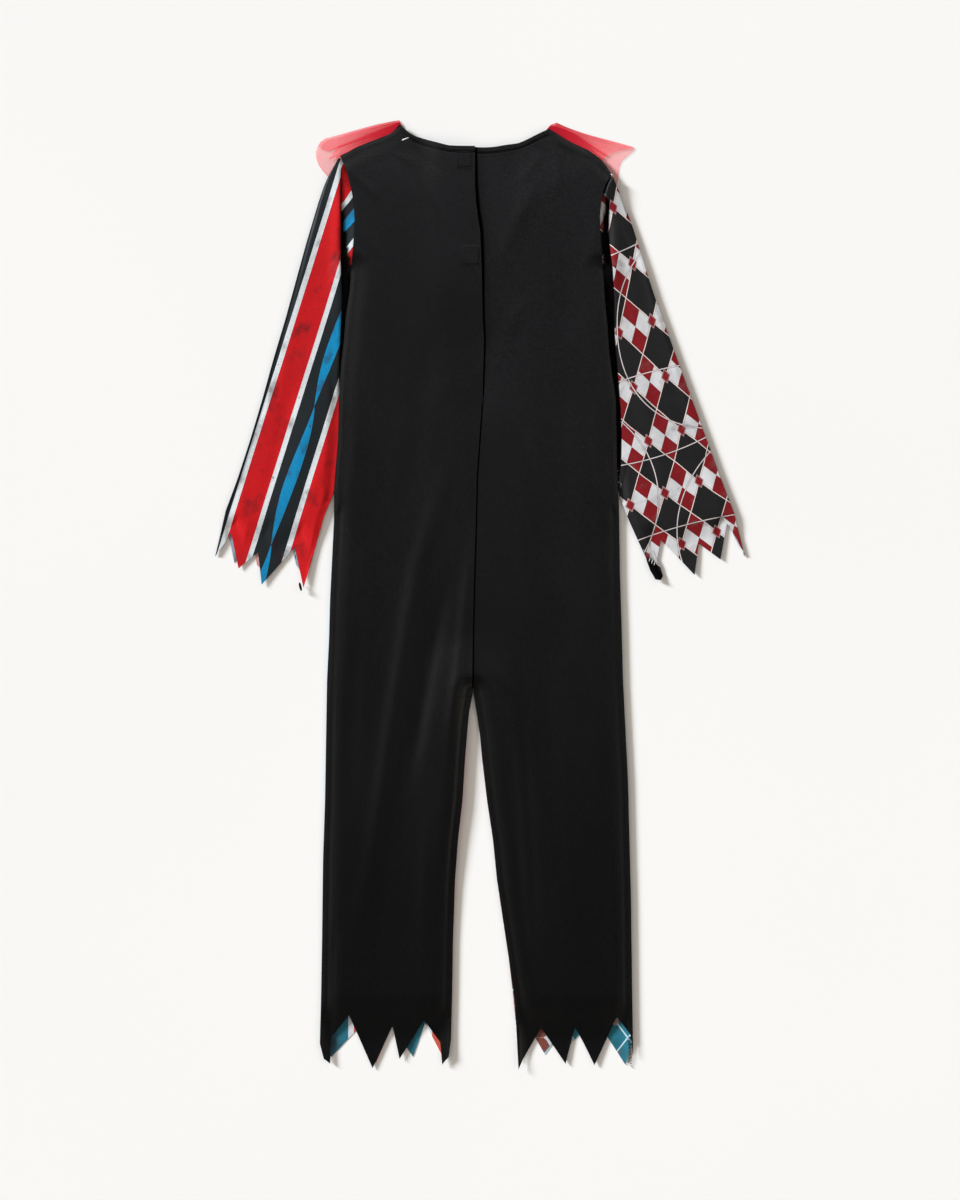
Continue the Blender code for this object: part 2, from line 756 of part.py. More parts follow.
def main():
    for old in list(bpy.data.objects):
        bpy.data.objects.remove(old, do_unlink=True)
    costume = bpy.data.collections.new("clown_costume")
    bpy.context.scene.collection.children.link(costume)

    black = material("black_knit", (0.014, 0.014, 0.015), 0.62)
    stripes = material("striped_print", (0.52, 0.02, 0.03), 0.5)
    harlequin = material("harlequin_print", (0.12, 0.02, 0.03), 0.5)
    net = material("red_net", (0.75, 0.05, 0.08), 0.6, alpha=0.7)
    tape = material("black_tape", (0.01, 0.01, 0.01), 0.85)

    left_back_edge = [(y, x - 0.15) for y, x in BACK_OPENING] + LEFT_INSEAM[1:]
    right_back_edge = UNDERLAP + [(y, x + 0.2) for y, x in BACK_OPENING if y < 209.0]
    right_back_edge = [e for e in right_back_edge if e[0] > CROTCH_Y] + RIGHT_INSEAM
    left_front_edge = [(y, x - 0.15) for y, x in CENTRE_FRONT[:1]]
    left_front_edge += [(CROTCH_Y, -8.9)] + [(y, x - 0.4) for y, x in LEFT_INSEAM[1:]]
    right_front_edge = [(y, x + 0.2) for y, x in CENTRE_FRONT[:1]]
    right_front_edge += [(CROTCH_Y, -7.9)] + [(y, x + 0.4) for y, x in RIGHT_INSEAM[1:]]
    left_side_in = [(y, x + 0.4 * smooth((380.0 - y) / 20.0)) for y, x in LEFT_SIDE]
    right_side_in = [(y, x - 0.4 * smooth((380.0 - y) / 20.0)) for y, x in RIGHT_SIDE]

    panels = [
        ("front_left", FRONT_LEFT_COLUMNS, left_side_in, left_front_edge, True),
        ("front_right", FRONT_RIGHT_COLUMNS, right_front_edge, right_side_in, False),
        ("back_left", BACK_LEFT_COLUMNS, LEFT_SIDE, left_back_edge, True),
        ("back_right", BACK_RIGHT_COLUMNS, right_back_edge, RIGHT_SIDE, False),
    ]
    made = {}
    for name, columns, left_edge, right_edge, on_left in panels:
        arm_edge = LEFT_SIDE if on_left else RIGHT_SIDE
        rows = LEFT_ROWS if on_left else RIGHT_ROWS
        is_front = name.startswith("front")
        lines = panel_rows(
            columns,
            left_edge,
            right_edge,
            arm_edge,
            rows,
            on_left,
            front_under if is_front else back_under,
        )
        look = black
        if is_front:
            look = stripes if on_left else harlequin
        made[name] = skin(name, lines, look, costume, CLOTH, 1.0)

    left_rings = sleeve_rings(
        SLEEVE_LEFT_OUTER,
        SLEEVE_LEFT_INNER,
        LEFT_SIDE,
        SLEEVE_LEFT_TOP,
        SLEEVE_LEFT_UNDER,
        True,
    )
    right_rings = sleeve_rings(
        SLEEVE_RIGHT_OUTER,
        SLEEVE_RIGHT_INNER,
        RIGHT_SIDE,
        SLEEVE_RIGHT_TOP,
        SLEEVE_RIGHT_UNDER,
        False,
    )
    skin("sleeve_left", left_rings, stripes, costume, CLOTH, -1.0, closed=True)
    skin("sleeve_right", right_rings, harlequin, costume, CLOTH, -1.0, closed=True)

    left_ruffle = ruffle_lines(RUFFLE_LEFT_END, True)
    right_ruffle = ruffle_lines(RUFFLE_RIGHT_END, False)
    skin("ruffle_left", left_ruffle, net, costume, CLOTH, 1.0)
    skin("ruffle_right", right_ruffle, net, costume, CLOTH, 1.0)

    bpy.context.view_layer.update()
    graph = bpy.context.evaluated_depsgraph_get()
    under_panel = BVHTree.FromObject(made["back_right"], graph)
    for name, centre in (("upper", (-18.0, 521.0)), ("lower", (-10.5, 407.0))):
        loop_base = (under_panel, 0.0)
        hook_base = (under_panel, TAPE_THICK + SEAM)
        tape_square("loop_" + name, centre, loop_base, SEAM, tape, costume)
        tape_square("hook_" + name, centre, hook_base, SEAM, tape, costume)


main()
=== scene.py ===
"""Looks of the clown costume, laid face down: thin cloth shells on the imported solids.

Tables and heights are in millimetres in the frame of the part: x across,
y towards the neck, z up from the table.
"""

import math
from functools import partialmethod

import bpy
import numpy as np
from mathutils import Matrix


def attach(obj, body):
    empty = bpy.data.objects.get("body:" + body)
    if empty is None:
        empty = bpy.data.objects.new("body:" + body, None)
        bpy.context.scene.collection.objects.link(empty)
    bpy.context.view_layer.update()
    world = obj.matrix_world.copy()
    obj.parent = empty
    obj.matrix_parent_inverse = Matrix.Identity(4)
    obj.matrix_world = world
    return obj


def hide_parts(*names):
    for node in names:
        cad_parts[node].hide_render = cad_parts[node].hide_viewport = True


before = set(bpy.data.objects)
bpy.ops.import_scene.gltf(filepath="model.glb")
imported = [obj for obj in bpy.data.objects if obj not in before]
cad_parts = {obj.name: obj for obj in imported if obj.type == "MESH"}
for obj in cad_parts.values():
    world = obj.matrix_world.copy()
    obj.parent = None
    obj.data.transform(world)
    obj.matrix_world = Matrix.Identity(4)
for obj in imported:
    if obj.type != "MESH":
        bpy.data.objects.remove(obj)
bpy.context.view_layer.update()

MM = 0.001
PHOTO_MM = 1.2  # one photograph pixel on the table
PHOTO_CENTRE_Y = 595.0  # photograph row that lies on y = 0

# Cloth and seams
CLOTH = 1.0  # wall of the solids
SHELL = 0.45  # real cloth
OFF_TABLE = 0.05  # what lies on the table stays just clear of it
SEAM = 0.3  # air between a front and a back at a seam
LOFT_GAP = 2.6  # and away from it, with its least and its most
LEAST_GAP = 0.6
MOST_GAP = 3.6
EDGE_ROUND = 24.0  # strip beside a seam in which the air grows
RUFFLE_RISE = 2.6  # how far the ruffle lifts what lies on it
HEM_LIE = 1.5  # height of the upper layer where the torn hems lie down
HEM_FROM = -478.0  # where the backs start to lie down towards their hems
HEM_FALL = 60.0  # and the strip in which they do
HEM_ZONE = 75.0  # length of the torn zone
TUCK_RISE = 2.9  # how far the tucked sleeve lifts a front's side
SIDE_CURL = 1.9  # how far the sides of the legs stand off the table
INNER_CURL = 1.6  # and their inner edges
LEG_CURL = 2.6  # more at the top of the left leg's inner edge, which stands off the table

# Neck and ruffle
NECK_X = -6.0
NECK_Y = 563.0
NECK_HALF_WIDTH = 91.0
NECK_DEPTH = 85.0
RUFFLE_LENGTH = 100.0

CROTCH_Y = -117.0
UNDERARM_Y = 390.0
LAST_ROW_Y = -490.0  # last straight row of a panel, above the torn zone

# Side edges of the body, from the shoulder tip to the hem
LEFT_SIDE = [
    # y, x
    (526.8, -168), (512, -161), (477.6, -152.4), (448, -150), (418, -152.2), (390, -154.8),
    (367, -156), (337, -160.8), (307, -163.2), (277, -166.8), (234, -169.2), (186, -170.4),
    (152, -173.4), (128, -175.2), (90, -175.2), (42, -177.6), (-6, -180), (-54, -181.2),
    (-102, -183.6), (-174, -184.8), (-246, -186), (-318, -188.4), (-414, -189.6), (-486, -190.8),
    (-570, -193.4),
]
RIGHT_SIDE = [
    # y, x
    (504, 158.4), (495.6, 151.2), (480, 146.6), (457, 143.6), (425, 144.6), (390, 147.6),
    (353, 150), (324, 153), (295, 154.8), (266, 158.4), (234, 163.2), (157, 164.4), (107, 166.8),
    (24, 168), (-54, 170.4), (-102, 171.6), (-126, 172.8), (-174, 175.2), (-222, 177.6),
    (-270, 178.8), (-366, 181.2), (-462, 182.4), (-540, 183.6), (-570, 183.8),
]
# Centre back: the edge of the overlapping left back, then the sewn seam
BACK_OPENING = [
    # y, x
    (538.2, -6), (489.6, -6), (471.6, -4.8), (452.4, -2.4), (438, 0), (414, 1.2), (378, 2.4),
    (336, 3), (307, 4.8), (264, 3.6), (234, 3.2), (210, 1.8), (144, -3), (66, -4.8), (6, -6.6),
    (-50.4, -7.7), (-104.4, -8.4), (-117, -8.6),
]
# Width of the painted shadow beside the overlapping edge, then of the painted shade along the seam line
OPENING_SHADE = [
    # y, width
    (538, 2.6), (500, 3.6), (470, 4.4), (420, 4.2), (360, 3), (300, 2.4), (250, 1.9), (234, 1.2),
    (228, 0.9), (-117, 0.9),
]
# Edge of the right back where it is hidden under the left one
UNDERLAP = [
    # y, x
    (538, -34), (400, -28), (300, -21), (262, -15), (248, -6), (237, 3.8), (210, 2.1),
]
CENTRE_FRONT = [(478, -6), (-117, -8.2)]  # y, x
LEFT_INSEAM = [
    # y, x
    (-117, -9), (-142, -13.2), (-169, -15.6), (-197, -18), (-246, -21), (-294, -26.4),
    (-342, -30), (-414, -32.4), (-486, -33.6), (-570, -35.6),
]
RIGHT_INSEAM = [
    # y, x
    (-117, -7.8), (-142, -4), (-169, 0), (-197, 2.6), (-246, 8.4), (-294, 15.6), (-342, 20.4),
    (-390, 27.6), (-438, 34.8), (-486, 41.6), (-518, 44.4), (-570, 45.8),
]
NECK_HEM = 6.2  # width of the turned edge
# Tape under the overlapping back: left, right, low, high
TAPE_PADS = [(-28.2, -9.8, 512.6, 531), (-20.2, -0.8, 396.2, 417.4)]
TACK = [(-94, 545.8), (-85, 548.4)]
# Columns of a back: where each starts, where it meets the hem, how high the hem
# stands off there, and how far across the chest it runs. A front's hem lies flat.
BACK_LEFT_COLUMNS = [
    # top_x, top_y, hem_x, hem_y, hem_lift, share_at_chest
    (-168, 526.8, -192.2, -538, 0.3, 0), (-158.4, 531.6, -187.5, -556.5, 1.6, 0.06),
    (-147.6, 537.6, -180, -562.3, 2.6, 0.126), (-141, 540.3, -178, -530, 1, 0.17),
    (-133.2, 543.6, -157.2, -504, 0.4, 0.215), (-120, 548.4, -129, -568.1, 0.8, 0.296),
    (-105.6, 555, -117, -543, 0.6, 0.385), (-96.5, 565, -105, -517.2, 0.3, 0.444),
    (-82.8, 553.2, -96.6, -556.8, 2, 0.526), (-67.2, 547.2, -82, -534, 0.8, 0.622),
    (-50.4, 542.4, -67.2, -510, 0.3, 0.726), (-38, 539.2, -47.8, -537, 0.8, 0.8),
    (-27, 538.5, -45.4, -563.5, 3, 0.87), (-16, 538.3, -37.6, -554, 1.6, 0.935),
    (-6, 538.2, -34.8, -533, 0.2, 1),
]
BACK_RIGHT_COLUMNS = [
    # top_x, top_y, hem_x, hem_y, hem_lift, share_at_chest
    (-34, 538.6, 46.2, -569, 2.6, 0), (-16, 538.2, 51.6, -557.4, 1.2, 0.094),
    (2, 537, 62, -539, 0.5, 0.187), (16.8, 537.6, 73.2, -519.6, 0.3, 0.264),
    (31.2, 540, 88, -541, 0.6, 0.339), (46.2, 542.4, 102.7, -562.8, 1.4, 0.417),
    (57.6, 547.2, 114, -518.4, 0.3, 0.476), (69.6, 553.2, 126, -541, 0.6, 0.538),
    (83, 559.5, 137.4, -564.4, 1.6, 0.608), (104.4, 546, 151, -535, 0.6, 0.719),
    (118.8, 538.8, 164, -505.8, 0.4, 0.794), (133.2, 531.6, 174, -519, 0.3, 0.869),
    (148, 519, 180.6, -528, 0.2, 0.946), (158.4, 504, 183.8, -553, 0.1, 1),
]
FRONT_LEFT_COLUMNS = [
    # top_x, top_y, hem_x, hem_y, share_at_chest
    (-168, 526.8, -191, -535, 0), (-158.4, 531.6, -186, -546, 0.05),
    (-147.6, 537.6, -178.5, -555, 0.11), (-133.2, 543.6, -163, -538, 0.17),
    (-120, 548.4, -148, -522, 0.23), (-105.6, 555, -136, -543, 0.29),
    (-96, 563, -125, -562, 0.36), (-93, 535, -106, -518, 0.46), (-82, 510, -80.4, -554.4, 0.56),
    (-62, 491, -66, -514, 0.67), (-42, 482, -55, -535, 0.78), (-23, 478.6, -44, -556, 0.89),
    (-6, 478, -35.4, -531, 1),
]
FRONT_RIGHT_COLUMNS = [
    # top_x, top_y, hem_x, hem_y, share_at_chest
    (-6, 478, 47.4, -560, 0), (11, 478.6, 54, -541, 0.11), (30, 482, 61, -522, 0.22),
    (50, 491, 78, -552, 0.33), (69, 509, 91, -534, 0.44), (80, 533, 102, -531, 0.54),
    (83, 559, 109.5, -540, 0.64), (104.4, 546, 119.5, -527.5, 0.72),
    (118.8, 538.8, 147.6, -522, 0.79), (133.2, 531.6, 161, -543, 0.86),
    (148, 519, 174.5, -564, 0.93), (158.4, 504, 182.4, -537, 1),
]
# Column of each panel whose top point is the sharp corner between shoulder and neck
NECK_POINT = {"back_left": 7, "back_right": 8, "front_left": 6, "front_right": 6}
NECK_LEFT = [row[:2] for row in BACK_LEFT_COLUMNS[7:]]
NECK_RIGHT = [row[:2] for row in BACK_RIGHT_COLUMNS[:9]]
LEFT_SHOULDER = [row[:2] for row in FRONT_LEFT_COLUMNS[:7]]
RIGHT_SHOULDER = [row[:2] for row in FRONT_RIGHT_COLUMNS[6:]]

# Soft folds of the backs: a line that fades at its ends, its height and half width
BACK_FOLDS = [
    ([(-20, 214), (-50, 120), (-74, 40), (-100, -116), (-132, -330), (-164, -470)], 1.78, 11),
    ([(-6, 96), (-22, -60), (-40, -210)], 1.24, 8),
    ([(-34, 50), (-62, -90), (-92, -260)], -1.61, 10),
    ([(-146, -20), (-155, -150), (-158, -290)], -1.07, 10),
    ([(44, -90), (53, -230), (60, -330), (66, -470)], -1.61, 11),
    ([(90, -60), (104, -220), (122, -420)], 1.24, 14),
    ([(8, 350), (24, 410), (70, 500)], 0.90, 10),
    ([(0, 250), (22, 296), (56, 366)], 0.71, 10),
    ([(-60, 330), (-74, 200), (-92, 60)], -0.71, 14),
    ([(96, 300), (104, 150), (96, -20)], -0.71, 14),
]
# Shallower creases that only the cloth has
BACK_CREASES = [
    # line, height, half_width
    ([(-98, 560), (-88, 528), (-60, 484), (-40, 440)], 0.6, 5),
    ([(-92, 548), (-70, 520), (-40, 505)], -0.3, 4),
    ([(-112, 534), (-92, 526), (-66, 512)], 0.35, 3.5),
    ([(-165, 520), (-142, 496), (-118, 470)], 0.45, 5),
    ([(-158, 470), (-138, 430), (-112, 396)], 0.3, 7),
    ([(86, 556), (96, 520), (90, 470)], 0.55, 5),
    ([(84, 550), (110, 536), (140, 522)], 0.45, 4),
    ([(82, 546), (104, 528), (130, 508)], -0.4, 4),
    ([(80, 540), (64, 512), (40, 490)], 0.3, 5),
    ([(148, 494), (140, 440), (128, 380)], 0.35, 7),
    ([(-30, 508), (-12, 478), (-6, 440)], 0.3, 5),
    ([(-40, 426), (-14, 402), (4, 372)], 0.25, 6),
    ([(-150, 300), (-128, 220), (-118, 120)], 0.3, 10),
    ([(-120, 190), (-96, 110), (-84, 20)], 0.3, 8),
    ([(40, 220), (66, 150), (76, 60)], 0.3, 9),
    ([(70, 90), (96, -30), (120, -150)], 0.35, 10),
    ([(4, -70), (22, -100), (48, -124)], 0.2, 8),
    ([(-12, -66), (-34, -98), (-62, -116)], -0.12, 8),
    ([(150, 40), (156, -80), (154, -190)], -0.4, 9),
    ([(-176, 60), (-179, -60), (-181, -170)], 0.3, 6),
    ([(146, -270), (154, -380), (160, -490)], -0.4, 9),
    ([(-62, -250), (-68, -380), (-66, -490)], 0.4, 8),
    ([(-112, -330), (-120, -420), (-118, -510)], -0.3, 8),
    ([(84, -330), (92, -430), (90, -520)], 0.35, 8),
    ([(-170, -370), (-176, -440), (-179, -510)], -0.3, 6),
]
SLEEVE_FOLDS = [
    # line, height, half_width
    ([(-159, 520), (-159.5, 450), (-160, 375)], -2.4, 6),
    ([(-170, 500), (-171, 410), (-172, 300)], 1, 8),
    ([(-190, 450), (-222, 340), (-272, 150)], 0.6, 13),
    ([(-218, 280), (-238, 190), (-268, 70)], -0.7, 11),
    ([(-190, 260), (-212, 180), (-236, 80)], 0.6, 11),
    ([(150, 490), (152, 425), (154, 360)], -2.4, 6),
    ([(162, 490), (163, 400), (165, 300)], 0.9, 8),
    ([(174, 480), (190, 400), (210, 300)], -0.6, 9),
    ([(198, 410), (234, 290), (272, 160)], 0.6, 13),
    ([(184, 280), (208, 185), (236, 90)], 0.6, 11),
]
SLEEVE_CREASES = [
    # line, height, half_width
    ([(-182, 486), (-200, 430), (-222, 350)], 0.45, 6),
    ([(-232, 320), (-243, 265), (-256, 200)], -0.35, 7),
    ([(-186, 176), (-198, 130), (-212, 84)], 0.45, 7),
    ([(-278, 150), (-288, 105), (-296, 60)], 0.35, 7),
    ([(182, 440), (198, 390), (218, 320)], 0.4, 6),
    ([(228, 280), (240, 225), (256, 170)], -0.35, 8),
    ([(182, 186), (194, 136), (208, 84)], 0.45, 7),
    ([(270, 166), (281, 120), (294, 74)], 0.35, 7),
    ([(168, 452), (176, 430), (190, 408)], 0.4, 3.5),
    ([(170, 436), (180, 414), (196, 394)], -0.4, 3.5),
]

# Torn points that roll over into a narrow tube
SLEEVE_CURLS = [
    # line, height, half_width
    ([(198, 56), (208, 32), (226, -4)], 2.6, 5),
]

# Outer and underarm edges of the sleeves, from the armhole to the hem
SLEEVE_LEFT_OUTER = [
    # x, y
    (-168.4, 526.6), (-184.8, 498), (-193.2, 474), (-207.6, 426), (-220.8, 378), (-234, 330),
    (-248.4, 282), (-261.6, 234), (-276, 186), (-291.6, 138), (-307.8, 94.8), (-318, 46.8),
]
SLEEVE_LEFT_INNER = [
    # x, y
    (-155.2, 390), (-154.4, 372), (-155, 350), (-156, 322), (-157.5, 290), (-159, 240),
    (-164.5, 185), (-175.4, 122.4), (-186.5, 96), (-196.8, 64.8), (-202.8, 38.4),
]
SLEEVE_RIGHT_OUTER = [
    # x, y
    (158.8, 503.8), (170.4, 476.4), (183.6, 441.6), (195.6, 402), (210, 357.6), (225.6, 314.4),
    (243, 266.4), (265.2, 205.8), (286.8, 146.4), (308.4, 90), (318, 46.8),
]
SLEEVE_RIGHT_INNER = [
    # x, y
    (148, 390), (146.6, 371), (147, 350), (147.6, 322), (148, 290), (151.5, 240), (157, 180),
    (167.4, 118.8), (180, 86.4), (194.4, 56.4), (201.6, 39.6),
]
# Columns across a sleeve's layers and where each meets the hem
SLEEVE_LEFT_TOP = [
    # share, hem_x, hem_y, hem_lift
    (0.05, -306, 63, 0.4), (0.14, -298.8, 74.4, 0.3), (0.25, -289.9, 31.9, 1.2),
    (0.37, -278, 42, 0.5), (0.48, -266.4, 51.6, 0.3), (0.57, -262.1, 12.6, 1.6),
    (0.68, -242, 35, 0.6), (0.82, -222.5, 57.6, 0.3), (0.93, -211.9, 9, 3),
]
SLEEVE_LEFT_UNDER = [
    # share, hem_x, hem_y, hem_lift
    (0.95, -213, 24, 0), (0.89, -221, 37, 0), (0.81, -227, 64, 0), (0.70, -238, 48, 0),
    (0.57, -259, 28, 0), (0.50, -268, 36, 0), (0.44, -271.5, 58, 0), (0.35, -280, 52, 0),
    (0.235, -295, 39, 0), (0.145, -303, 77, 0), (0.08, -308, 67, 0),
]
SLEEVE_RIGHT_TOP = [
    # share, hem_x, hem_y, hem_lift
    (0.05, 309, 66, 1.2), (0.15, 296.4, 86.4, 0.4), (0.26, 288.7, 42.6, 1.4),
    (0.38, 276, 52, 0.5), (0.49, 262.8, 61.9, 0.3), (0.60, 257.6, 24, 1.8), (0.71, 237, 46, 0.6),
    (0.83, 217.2, 66, 0.3), (0.88, 212, 41, 0.6), (0.905, 217, 32, 0.4), (0.92, 219.8, 23, 0.2),
    (0.935, 217, 17.8, 0.2), (0.95, 210.6, 18.6, 0.2), (0.97, 205.2, 28, 0.4),
]
SLEEVE_RIGHT_UNDER = [
    # share, hem_x, hem_y, hem_lift
    (0.94, 209, 34, 0), (0.84, 217, 70, 0), (0.71, 238, 52, 0), (0.60, 256, 36, 0),
    (0.49, 263, 67, 0), (0.38, 276, 58, 0), (0.26, 288, 54, 0), (0.17, 297, 96, 0),
    (0.11, 305, 71, 0), (0.05, 318, 46, 0.4),
]
SLEEVE_LAST_RING = 0.89  # share of a sleeve's length above its torn zone
# Fold beside each armhole, where the sleeve's cloth is tucked under itself
SLEEVE_LEFT_PLEAT = [
    # y, crest_x, print_x in the recess, depth, painted shade in the recess, width of painted shade
    # beside the crest
    (520, -167, 9, 1.2, 0, 0.4), (510, -166.8, 17, 1.3, 0, 0.5), (472.8, -166.8, 40.7, 1.4, 0, 1),
    (447, -166.8, 59.7, 1.5, 0, 4), (414, -166.8, 81, 1.9, 0.1, 8.5),
    (402, -166.8, 88, 2.5, 0.6, 11.5), (388, -166.2, 118, 3.1, 0.95, 14),
    (354, -165, 118, 3.4, 1, 14), (324, -166.4, 118, 3.4, 1, 14), (294, -167.6, 118, 3.2, 1, 14),
    (264, -168.6, 118, 2.8, 1, 14), (225, -170.4, 118, 2, 1, 14),
]
SLEEVE_RIGHT_PLEAT = [
    # y, crest_x, print_x in the recess, depth, painted shade in the recess, width of painted shade
    # beside the crest
    (484, 151, 20, 1.2, 0, 1), (470, 155.5, 24, 2, 0, 6), (434, 153.5, 27, 2.4, 0, 7.2),
    (411, 156, 27, 2.6, 0.4, 9), (392, 158.4, 27, 3, 1, 12), (354, 160.4, 20, 3.4, 1, 14),
    (312, 161, 20, 3.4, 1, 14), (294, 162.6, 20, 3.4, 1, 14), (222, 168, 20, 3.2, 1, 14),
    (192, 169.2, 20, 3, 1, 14), (119, 168, 20, 2, 1, 14),
]
PLEAT_MOST = 12.0  # width of the tuck under the fold

# Lines of the net ruffle from the neck to its free edge, in order along the strip.
# Where the order turns back, the net is folded over itself.
RUFFLE_LEFT_LINES = [
    # inner_x, inner_y, outer_x, outer_y, bow, gather
    (-91.2, 559.2, -175.2, 490.8, 2, 0.2), (-92.4, 561, -183.6, 503.4, 2, 0),
    (-93.1, 562.3, -189.4, 510, 2, 0), (-93.8, 563.5, -193.9, 516.7, 2, 0),
    (-94.6, 564.7, -196.8, 524.4, 2, 0), (-95.3, 566.2, -197.3, 532.2, 1.5, 0),
    (-95.8, 567.6, -195.1, 538.8, 1.5, 0.05), (-96.2, 569, -190.8, 544.8, 1.5, 0.1),
    (-96.7, 570.2, -185.4, 548.2, 1.5, 0.25), (-96.2, 569, -191.3, 544.3, 1, 0.15),
    (-95.8, 567.8, -194.4, 538.8, 0, 0.1), (-95.3, 566.6, -188.4, 534.2, -1.5, 0.3),
    (-94.9, 565.7, -180.7, 532.8, -2.2, 0.9), (-95.5, 567.1, -176.4, 535.2, -1, 0.7),
    (-96, 568.3, -170.4, 538.6, 0.5, 0.3), (-94.9, 565.4, -176.4, 529.7, -1, 0.5),
    (-94.6, 564.2, -181.7, 522.7, 0, 0.7), (-95.3, 566.6, -172.8, 525.6, 0.5, 0.6),
    (-94.1, 562.6, -170.4, 518.4, 0.5, 0.9), (-95, 565.2, -166.8, 517.2, 1, 0.9),
    (-93.1, 560.4, -163.2, 512.4, 1, 1),
]
RUFFLE_RIGHT_LINES = [
    # inner_x, inner_y, outer_x, outer_y, bow, gather
    (77.5, 555.1, 151.2, 483.6, 5, 0.8), (78.2, 556.3, 165.1, 495, 6, 0.5),
    (79.4, 558, 166.8, 505.8, 6, 0.4), (80.9, 559.9, 167.5, 513.8, 5.5, 0.25),
    (82.6, 561.8, 170.4, 521.3, 4.5, 0.1), (84.5, 563.8, 177.8, 527.8, 3, 0.05),
    (87.6, 565.7, 184.6, 533.5, 0, 0.1), (92.4, 567.2, 185.3, 537.6, -2.2, 0.35),
    (89.4, 566.5, 181.7, 536.4, -1.5, 0.15), (87, 565.8, 174, 534.8, -0.5, 0.15),
    (85.2, 565, 166.3, 533.3, 1, 0.2), (83.8, 563.5, 158.4, 530.4, 2.5, 0.45),
    (82.6, 562.1, 150.2, 527.3, 3.5, 0.6), (83.8, 563.3, 153.6, 528, 5, 0.85),
    (81.4, 560.6, 147, 523.7, 5, 0.8), (82.6, 561.8, 148.8, 524.4, 7, 1),
    (80.2, 559.2, 144, 519.6, 6, 0.9), (81.4, 560.4, 145.8, 520.8, 8, 1),
    (78.7, 557.3, 139.2, 514.8, 7, 1), (79.7, 558.5, 141.6, 516, 9, 1),
    (77.3, 555.1, 132, 510, 8, 1),
]
RUFFLE_HIDDEN_PLEATS = 10  # on each side, from the shoulder round to the centre front
RUFFLE_PLY_RISE = 0.11  # height that each further line lies on


# ---------------------------------------------------------------- maths


def smooth(value):
    """0 below 0, 1 above 1 and a soft step between."""
    value = np.clip(value, 0.0, 1.0)
    return value * value * (3.0 - 2.0 * value)


def fade(value):
    """1 below 0, 0 above 1 and a soft step between."""
    return 1.0 - smooth(value)


def along(table, key):
    """Value of a (key, value) table between its rows, held past its ends."""
    rows = np.array(sorted(table), float)
    return np.interp(key, rows[:, 0], rows[:, 1])


def rounded(points, step=2.0, blur=12.0):
    """A polyline resampled every step and eased at its corners; its ends stay."""
    points = np.array(points, float)
    length = np.r_[0.0, np.cumsum(np.hypot(*np.diff(points, axis=0).T))]
    count = max(4, int(length[-1] / step))
    at = np.linspace(0.0, length[-1], count)
    line = np.stack([np.interp(at, length, points[:, k]) for k in (0, 1)], axis=1)
    half = max(1, int(blur / step / 2.0))
    before = 2.0 * line[0] - line[half:0:-1]
    after = 2.0 * line[-1] - line[-2 : -half - 2 : -1]
    padded = np.concatenate([before, line, after])
    window = np.hanning(2 * half + 3)[1:-1]
    window /= window.sum()
    return np.stack([np.convolve(padded[:, k], window, "valid") for k in (0, 1)], axis=1)


def edge(table, blur=24.0):
    """A (y, x) edge with its corners eased, as rows for along()."""
    return [tuple(row) for row in rounded(table, 2.0, blur)]


def on_path(path, share):
    """Points at shares of the length of a polyline."""
    path = np.asarray(path, float)
    length = np.r_[0.0, np.cumsum(np.hypot(*np.diff(path, axis=0).T))]
    at = np.asarray(share) * length[-1]
    return np.interp(at, length, path[:, 0]), np.interp(at, length, path[:, 1])


def ridges(x, y, folds):
    """Sum of the soft ridges and troughs of a table at points; each fades at its ends."""
    total = np.zeros_like(x)
    for line, height, half_width in folds:
        line = rounded(line, 12.0, 60.0)
        step = np.diff(line, axis=0)
        length = np.hypot(*step.T)
        nearest = np.full(x.shape, 1.0e9)
        share = np.zeros_like(x)
        for k, (run_x, run_y) in enumerate(step):
            at = ((x - line[k, 0]) * run_x + (y - line[k, 1]) * run_y) / length[k] ** 2
            at = np.clip(at, 0.0, 1.0)
            away = np.hypot(x - line[k, 0] - at * run_x, y - line[k, 1] - at * run_y)
            share = np.where(away < nearest, (k + at) / len(step), share)
            nearest = np.minimum(nearest, away)
        ends = smooth(share / 0.35) * smooth((1.0 - share) / 0.35)
        total += height * ends * np.exp(-((nearest / half_width) ** 2))
    return total


# ---------------------------------------------------------------- heights

left_side, right_side = edge(LEFT_SIDE), edge(RIGHT_SIDE)
opening = edge(BACK_OPENING)
left_inseam, right_inseam = edge(LEFT_INSEAM), edge(RIGHT_INSEAM)


RUFFLE_FROM = 174.0  # distance from the neck's middle where the ruffle's plies thin out
RUFFLE_FALL = 30.0  # width of that thinning
TUCK_WIDE = 16.0  # strip of a front that lies on the tucked sleeve
TUCK_FROM = 95.0  # its low end
FRONT_ROLL = 14.0  # how far in from its side a front is lifted
LEG_ROLL = 13.0  # the same at an inner leg edge
BACK_ROLL = 80.0  # the same for a back, which bridges wider
LEG_CURL_FROM = -420.0  # where the left leg's inner edge starts to stand off
SEAM_PINCH = 5.0  # strip beside a seam where a front and a back close on each other
CLOSE_STRIP = 12.0  # strip beside a seam where a back lies right on the front
CLOSE_DOWN = 0.65  # how far a back comes down at a seam
DRAW_UP = 0.6  # and how far a front comes up to it
BRIDGE_FROM = 100.0  # distance from the neck's middle where a back leaves the ruffle
BRIDGE_WIDE = 240.0  # strip in which it comes down
FLAP_GAP = 0.5  # air over the right back where the left one lies on it
FLAP_LOW = 205.0  # low end of the overlap
FLAP_RISE = 110.0  # length over which the layers come together
FLAP_EASE = 64.0  # the same across, from this far in
FLAP_IN = 3.0
FLAP_LIFTS = [
    # further air under the left back, where it starts across and over what width, then up
    (1.3, -92, 60, 290, 90), (0.4, -64, 44, 216, 40),
]
PRESS_EDGE = 1.2  # width of the step round what shows through
TACK_DEPTH = 0.5  # dimple that the tack pulls, and its half width
TACK_WIDE = 6.0
